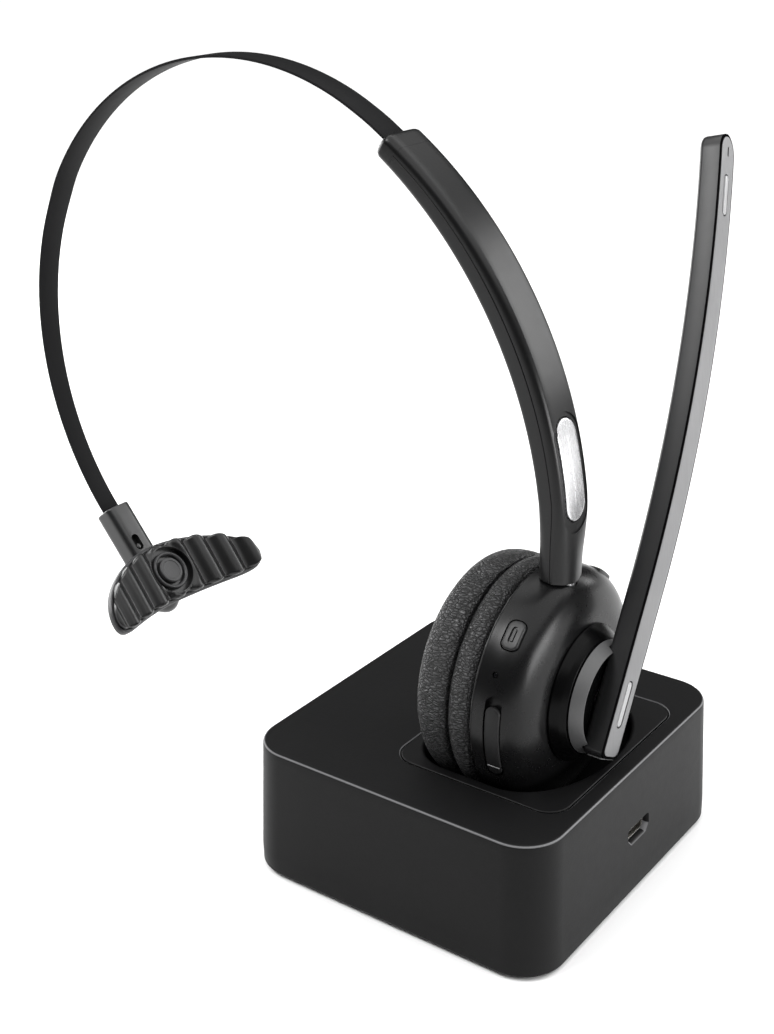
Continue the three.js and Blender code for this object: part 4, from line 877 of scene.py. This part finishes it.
# blank bright plate in its pocket, with a sunk surround
PA, PW, PH = 10.2, 7.8, 12.1
def plate_place(p):
    u, v, w = p
    a = PA * D
    return (AC[0] + w * math.cos(a) - v * math.sin(a), u, AC[1] + w * math.sin(a) + v * math.cos(a))
def cyl_y(r, seg=720, y=30):
    ring = [(AC[0] + r * math.cos(2 * math.pi * k / seg), AC[1] + r * math.sin(2 * math.pi * k / seg)) for k in range(seg)]
    return tool(*skin([[(x, yy, z) for x, z in ring] for yy in (-y, y)]))
def arm_pocket(w, half, r_floor, dv=0.0):
    o = prism(rrect(w, 2 * half, w / 2 - 0.02, 0, dv, n=12), plate_place, 100, 120)
    return boolean(o, [cyl_y(r_floor)])
boolean(outer_shell, [arm_pocket(10.9, 14.3, 110.95, -0.8)], angle=30)
boolean(outer_shell, [arm_pocket(PW + 0.7, PH + 0.35, 110.35)], angle=30)
dress(outer_shell, 'arm', 'arm_plastic', ['arm_outer_shell'])
dress(inner_shell, 'arm', 'arm_plastic', ['arm_inner_shell'])
def curved_pill(name, w, half, r0, r1, e, material, slot, replaces):
    loops = []
    for ww, hh, rr, z in edge_round(w, 2 * half, w / 2 - 0.01, r0, r1, e, bottom=False):
        loops.append((ww, hh, rr, z))
    ww, hh, rr, z = loops[-1]
    for k in range(1, 7):
        i = (ww / 2 - 0.05) * k / 6
        loops.append((ww - 2 * i, hh - 2 * i, max(rr - i, 0.045), r1))
    out = []
    for ww, hh, rr, z in loops:
        out.append([plate_place((u, z * math.sin(v / z), z * math.cos(v / z))) for u, v in rrect(ww, hh, rr, n=12, straight=8)])
    # the last ring is a thin line: close it with a strip between its two sides
    verts, faces = skin(out, cap=(True, False))
    n, base = len(out[0]), (len(out) - 1) * len(out[0])
    faces.append(tuple(range(base, base + n)))
    return make(name, verts, faces, material, 'arm', slot, replaces)
curved_pill('arm_plate', PW, PH, 110.5, 111.32, 0.2, 'badge', 'badge_metal', ['arm_badge_plate'])
# end cap
caps = [st_arc(CAPA + 0.02), st_arc(CAPA + 0.3)] + [st_arc(CAPA + 0.3 + (TIPA - 0.9 - CAPA - 0.3) * k / 4) for k in range(1, 5)]
for k in range(1, 7):
    a = math.pi / 2 * k / 6
    s = st_arc(TIPA - 0.9 + 0.9 * math.sin(a) * 1.0)
    i = 1.75 * (1 - math.cos(a))
    s['w'] -= i
    s['p'] = s['p'] + s['n'] * i * 0.8
    s['T'] -= i * 1.5
    s['b'] -= i * 0.8
    s['ro'] = max(s['ro'], 1.9); s['ri'] = 1.6
    caps.append(s)
endcap = sweep(caps, 'whole', 'arm_tip', 'arm')
slot_loops = []
for d in (50, 52, 54, 56, 58):
    s = st_arc(d)
    slot_loops.append([place(s, q) for q in [(-4.7, s['b'] - 0.65), (4.7, s['b'] - 0.65), (4.7, s['b'] + 0.65), (-4.7, s['b'] + 0.65)]])
boolean(endcap, [tool(*skin(slot_loops))], angle=30)
dress(endcap, 'arm', 'arm_plastic', ['arm_end_cap'])

# ================================================================== sliding band
path = [(AC[0] + BAND_R * math.cos(d * D), AC[1] + BAND_R * math.sin(d * D)) for d in range(23, 57, 3)]
path += [(-72.2 + 76.4 * math.cos(d * D), 116.1 + 76.4 * math.sin(d * D)) for d in range(58, 147, 8)]
path += [(-66.6 + 82.6 * math.cos(d * D), 112.7 + 82.6 * math.sin(d * D)) for d in range(152, 224, 7)]
line = np.array(smooth_path(path, 10))
seg_len = np.r_[0, np.cumsum(np.linalg.norm(np.diff(line, axis=0), axis=1))]
def band_half(u):
    t = min(max((u - 0.5) / 0.45, 0), 1)
    return 4.0 - 1.0 * t * t * (3 - 2 * t)
tang = np.gradient(line, axis=0)
tang /= np.linalg.norm(tang, axis=1)[:, None]
loops = []
for (x, z), (tx, tz), l in zip(line, tang, seg_len):
    w = band_half(l / seg_len[-1])
    nx, nz = -tz, tx
    t, e = 0.34, 0.16
    sec = [(-w + e, -t), (w - e, -t), (w - 0.04, -t + 0.05), (w, 0), (w - 0.04, t - 0.05), (w - e, t), (-w + e, t), (-w + 0.04, t - 0.05), (-w, 0), (-w + 0.04, -t + 0.05)]
    loops.append([(x + nx * d, y, z + nz * d) for y, d in sec])
make('head_band', *skin(loops), 'band', 'band', 'band_steel', ['band_strip'], angle=40)

# ---- holder
JT = np.array((-115.3, 42.5)); HT = -math.asin(0.62)
hc, hs = math.cos(HT), math.sin(HT)
def hold_pt(x, y, z):
    """holder frame (+X to the head, +Z up the holder) to the row frame"""
    return (JT[0] + x * hc + z * hs, y, JT[1] - x * hs + z * hc)
loops = []
def hold_loop(z, sx, sy, r):
    return [hold_pt(x, y, z) for x, y in rrect(8.0 * sx, 8.6 * sy, r, -0.3, 0, n=9, straight=3)]
for k in range(0, 12):
    a = math.pi / 2 * (k + 0.35) / 12
    f = math.sin(a)
    loops.append(hold_loop(-5.4 - 4.6 * math.cos(a), max(f, 0.05), max(f, 0.05), 2.4 + 1.4 * (1 - f)))
loops += [hold_loop(z, 1, 1, 2.4) for z in (-5.4, -2, 4, 10, 16, 21, 23.9)]
for k in range(1, 6):
    a = math.pi / 2 * k / 5
    i = 0.5 * (1 - math.cos(a))
    loops.append([hold_pt(x, y, 24.0 + 0.5 * math.sin(a)) for x, y in rrect(8.0 - 2 * i, 8.6 - 2 * i, 2.4 - i, -0.3, 0, n=9, straight=3)])
holder = make('band_end', *skin(loops), 'holder', None, None, angle=34)
pocket = []
for (x, z), (tx, tz), l in zip(line, tang, seg_len):
    u = l / seg_len[-1]
    if u > 0.82:
        w = band_half(u) + 0.3
        nx, nz = -tz, tx
        pocket.append([(x + nx * d, y, z + nz * d) for y, d in ((-w, -0.6), (w, -0.6), (w, 0.6), (-w, 0.6))])
pocket.append([(p[0] + tang[-1][0] * 0.5, p[1], p[2] + tang[-1][1] * 0.5) for p in pocket[-1]])
boolean(holder, [tool(*skin(pocket))], angle=34)
def sphere_tool(r, seg=32, rings=18):
    loops = []
    for k in range(1, rings):
        a = math.pi * k / rings
        loops.append([hold_pt(r * math.cos(a), r * math.sin(a) * math.cos(b), r * math.sin(a) * math.sin(b)) for b in [2 * math.pi * j / seg for j in range(seg)]])
    return skin(loops)
boolean(holder, [tool(*sphere_tool(3.0))], angle=34)
cone = [(0.0, 1.9), (2.0, 2.5), (4.2, 3.3), (6.5, 3.95)]
boolean(holder, [tool(*skin([[hold_pt(x, r * math.cos(b), r * math.sin(b)) for b in [2 * math.pi * j / 36 for j in range(36)]] for x, r in cone]))], angle=34)
slotp = rrect(2.5, 5.0, 1.2, -1.25, 12.2, n=8)
boolean(holder, [tool(*skin([[hold_pt(x, y, z) for y, z in slotp] for x in (1.7, 6.5)]))], angle=34)
pin = [[hold_pt(x, -1.1 + 0.9 * g * math.cos(b), 11.0 + 0.9 * g * math.sin(b)) for b in [2 * math.pi * j / 24 for j in range(24)]] for x, g in ((1.5, 1), (2.8, 1), (3.15, 0.85), (3.3, 0.5))]
make('band_end_pin', *skin(pin), 'holder', 'band', 'holder_gloss')
dress(holder, 'band', 'holder_gloss', ['band_holder'])

# ---- temple pad
make('pad_ball_joint', *sphere_tool(2.7, 36, 22), 'steel', 'pad_ball', 'shaft_steel', ['pad_ball'])
def hold_lathe(profile, seg=72, off=(0, 0)):
    verts, faces = [], []
    n = len(profile)
    for i in range(seg):
        a = 2 * math.pi * i / seg
        verts += [hold_pt(x, off[0] + r * math.sin(a), off[1] + r * math.cos(a)) for x, r in profile]
    for k in range(seg):
        a, b = k * n, ((k + 1) % seg) * n
        for i in range(n):
            j = (i + 1) % n
            faces.append((a + i, a + j, b + j, b + i))
    return verts, faces
prof = fillet([(2.9, 0.0), (2.9, 1.5), (7.6, 1.5), (7.6, 3.75), (8.9, 3.75, 0.2), (9.1, 3.5, 0.1), (9.1, 2.9, 0.05), (8.95, 2.7, 0.05), (8.95, 0.0)], 3)
make('pad_centre_disc', *hold_lathe(prof), 'pad_plastic', 'temple_pad', 'pad_plastic', ['pad_stud'])
make('pad_rim', *hold_lathe(fillet([(7.55, 4.7), (7.55, 5.7), (8.6, 5.68, 0.15), (8.95, 5.4, 0.2), (8.95, 5.05, 0.2), (8.6, 4.7, 0.15)], 4)), 'pad_plastic', 'temple_pad', 'pad_plastic', ['pad_boss_ring'])
PT = -2.5 * D
def pad_place(x, u, z):
    return hold_pt(x, u * math.cos(PT) - z * math.sin(PT), u * math.sin(PT) + z * math.cos(PT))
def pad_edges(u, grow):
    L = 30.5 + grow
    s = min(1, abs(u) / L)
    end = math.sqrt(max(0, 1 - s ** 12))
    droop = 2.4 * (u / 30) ** 2 if u < 0 else 0
    top = 8.9 - 9.6 * (u / 30) ** 2 - droop
    bottom = -8.9 - 2.2 * (u / 30) ** 2 - droop
    mid, h = (top + bottom) / 2, ((top - bottom) / 2 + grow) * end
    fwd = (6.0 if u < 0 else 4.4) * (u / 28) ** 2
    return mid, h, fwd
def pad_solid(name, x0, x1, grow, ribs, material, replaces, nu=221, nv=29):
    L = 30.5 + grow
    ts = np.sin(np.linspace(-math.pi / 2, math.pi / 2, nu))
    us = L * (0.72 * ts + 0.28 * np.linspace(-1, 1, nu)) * 0.999
    front, back = [], []
    for u in us:
        mid, h, fwd = pad_edges(u, grow)
        wave = math.cos(2 * math.pi * (u + 1.3) / 7.2) - 0.12 * math.cos(4 * math.pi * (u + 1.3) / 7.2) if ribs else 0
        hh = h + (0.4 * wave * min(1, h / 6) if ribs else 0)
        row_f, row_b = [], []
        for k in range(nv):
            v = -1 + 2 * k / (nv - 1)
            vv = math.sin(v * math.pi / 2)
            z = mid + hh * vv
            edge = max(0.0, (abs(vv) - 0.93) / 0.07)
            endr = max(0.0, (abs(u) / L - 0.93) / 0.07)
            dome = -0.7 * edge ** 2 - 0.8 * endr ** 2 - 0.12 * vv * vv
            rr = math.hypot(u, z)
            rib = 0.0
            if ribs:
                k_in = min(1, max(0, (rr - 7.4) / 0.8))
                rib = 1.05 * wave * k_in * (1 - edge * 0.2) * (1 - endr)
            row_f.append((x1 + fwd + dome + rib - (0.55 if ribs else 0), u, z))
            row_b.append((x0 + fwd, u, mid + hh * 0.985 * vv))
        front.append(row_f); back.append(row_b)
    loops = []
    for f, b in zip(front, back):
        loops.append([pad_place(*p) for p in f] + [pad_place(*p) for p in reversed(b)])
    o = make(name, *skin(loops), material, None, None, angle=50)
    return o
backing = pad_solid('pad_shell', 5.5, 7.5, 0.0, False, 'pad_plastic', ())
boolean(backing, [pad_solid('cutter', 7.03, 12.0, -0.7, False, 'base', ())], angle=50)
boolean(backing, [tool(*skin([[hold_pt(x, 1.7 * math.cos(b), 1.7 * math.sin(b)) for b in [2 * math.pi * j / 36 for j in range(36)]] for x in (0, 20)]))], angle=50)
dress(backing, 'temple_pad', 'pad_plastic', ['pad_backing'])
rub = pad_solid('pad_rubber', 7.05, 9.75, -0.75, True, 'rubber', ())
boolean(rub, [tool(*skin([[hold_pt(x, 7.1 * math.cos(b), 7.1 * math.sin(b)) for b in [2 * math.pi * j / 64 for j in range(64)]] for x in (7.5, 20)]))], angle=50)
boolean(rub, [tool(*skin([[hold_pt(x, 1.7 * math.cos(b), 1.7 * math.sin(b)) for b in [2 * math.pi * j / 36 for j in range(36)]] for x in (0, 20)]))], angle=50)
dress(rub, 'temple_pad', 'pad_rubber', ['temple_pad'])

# ================================================================== materials of the CAD pieces that stay
KEEP = {
    'dock_base_plate': 'base', 'dock_base_pad': 'rubber', 'dock_ballast': 'steel', 'dock_pcb': 'board', 'dock_usb_socket': 'nickel',
    'pin_barrel_near': 'gold', 'pin_barrel_far': 'gold', 'charge_pin_near': 'gold', 'charge_pin_far': 'gold',
    'dock_screw_1': 'steel', 'dock_screw_2': 'steel', 'dock_screw_3': 'steel', 'dock_screw_4': 'steel',
    'speaker_baffle': 'inner', 'speaker_driver': 'grey_plastic', 'speaker_magnet': 'steel', 'pivot_bush': 'brass', 'stem_bush': 'brass',
    'charge_contact_near': 'gold', 'charge_contact_far': 'gold', 'battery': 'battery', 'main_pcb': 'board', 'cup_usb_socket': 'nickel',
    'power_switch': 'inner', 'mic_capsule': 'nickel', 'boom_shaft': 'steel', 'friction_washer': 'steel', 'shaft_screw': 'steel', 'arm_stem': 'steel'}
for n, k in KEEP.items():
    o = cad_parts[n]
    o.data.materials.clear()
    o.data.materials.append(M[k])

# ================================================================== floor and light
m, nt, bs = new_mat('floor_pale')
nt.links.new(ramp(nt, noise(nt, coords(nt), 6, 2), [(0.3, 0.86), (0.7, 0.88)]), bs.inputs['Base Color'])
bs.inputs['Roughness'].default_value = 0.7
bs.inputs['Specular IOR Level'].default_value = 0.2
me = bpy.data.meshes.new('floor')
me.from_pydata([(-14, -14, 0), (14, -14, 0), (14, 14, 0), (-14, 14, 0)], [], [(0, 1, 2, 3)])
floor = bpy.data.objects.new('floor', me)
bpy.context.scene.collection.objects.link(floor)
me.materials.append(m)

world = bpy.data.worlds.new('studio')
bpy.context.scene.world = world
world.use_nodes = True
bg = world.node_tree.nodes['Background']
bg.inputs[0].default_value = (1, 1, 1, 1)
bg.inputs[1].default_value = 0.05

def area(name, loc, target, size, size_y, power, color=(1, 1, 1)):
    l = bpy.data.lights.new(name, 'AREA')
    l.shape = 'RECTANGLE'
    l.size, l.size_y, l.energy, l.color = size, size_y, power, color
    o = bpy.data.objects.new(name, l)
    bpy.context.scene.collection.objects.link(o)
    o.location = loc
    o.rotation_euler = (Vector(target) - Vector(loc)).to_track_quat('-Z', 'Y').to_euler()
    return o
sun = bpy.data.lights.new('overhead', 'SUN')
sun.energy = 3.95
sun.angle = 100 * D
so = bpy.data.objects.new('overhead', sun)
bpy.context.scene.collection.objects.link(so)
so.rotation_euler = Vector((0.12, 0.06, 1)).to_track_quat('Z', 'Y').to_euler()
area('box_right', (0.92, 0.20, 0.15), (0, 0, 0.09), 0.55, 0.26, 6.0)
area('box_back_right', (0.44, 0.80, 0.40), (0, 0, 0.12), 0.40, 0.46, 3.8)
area('box_left', (-0.31, -0.42, 0.73), (0, 0, 0.12), 0.34, 0.22, 3.4)
area('box_far_left', (-0.80, 0.05, 0.22), (0, 0, 0.08), 0.75, 0.30, 5.0)

bpy.context.scene.view_settings.view_transform = 'Standard'
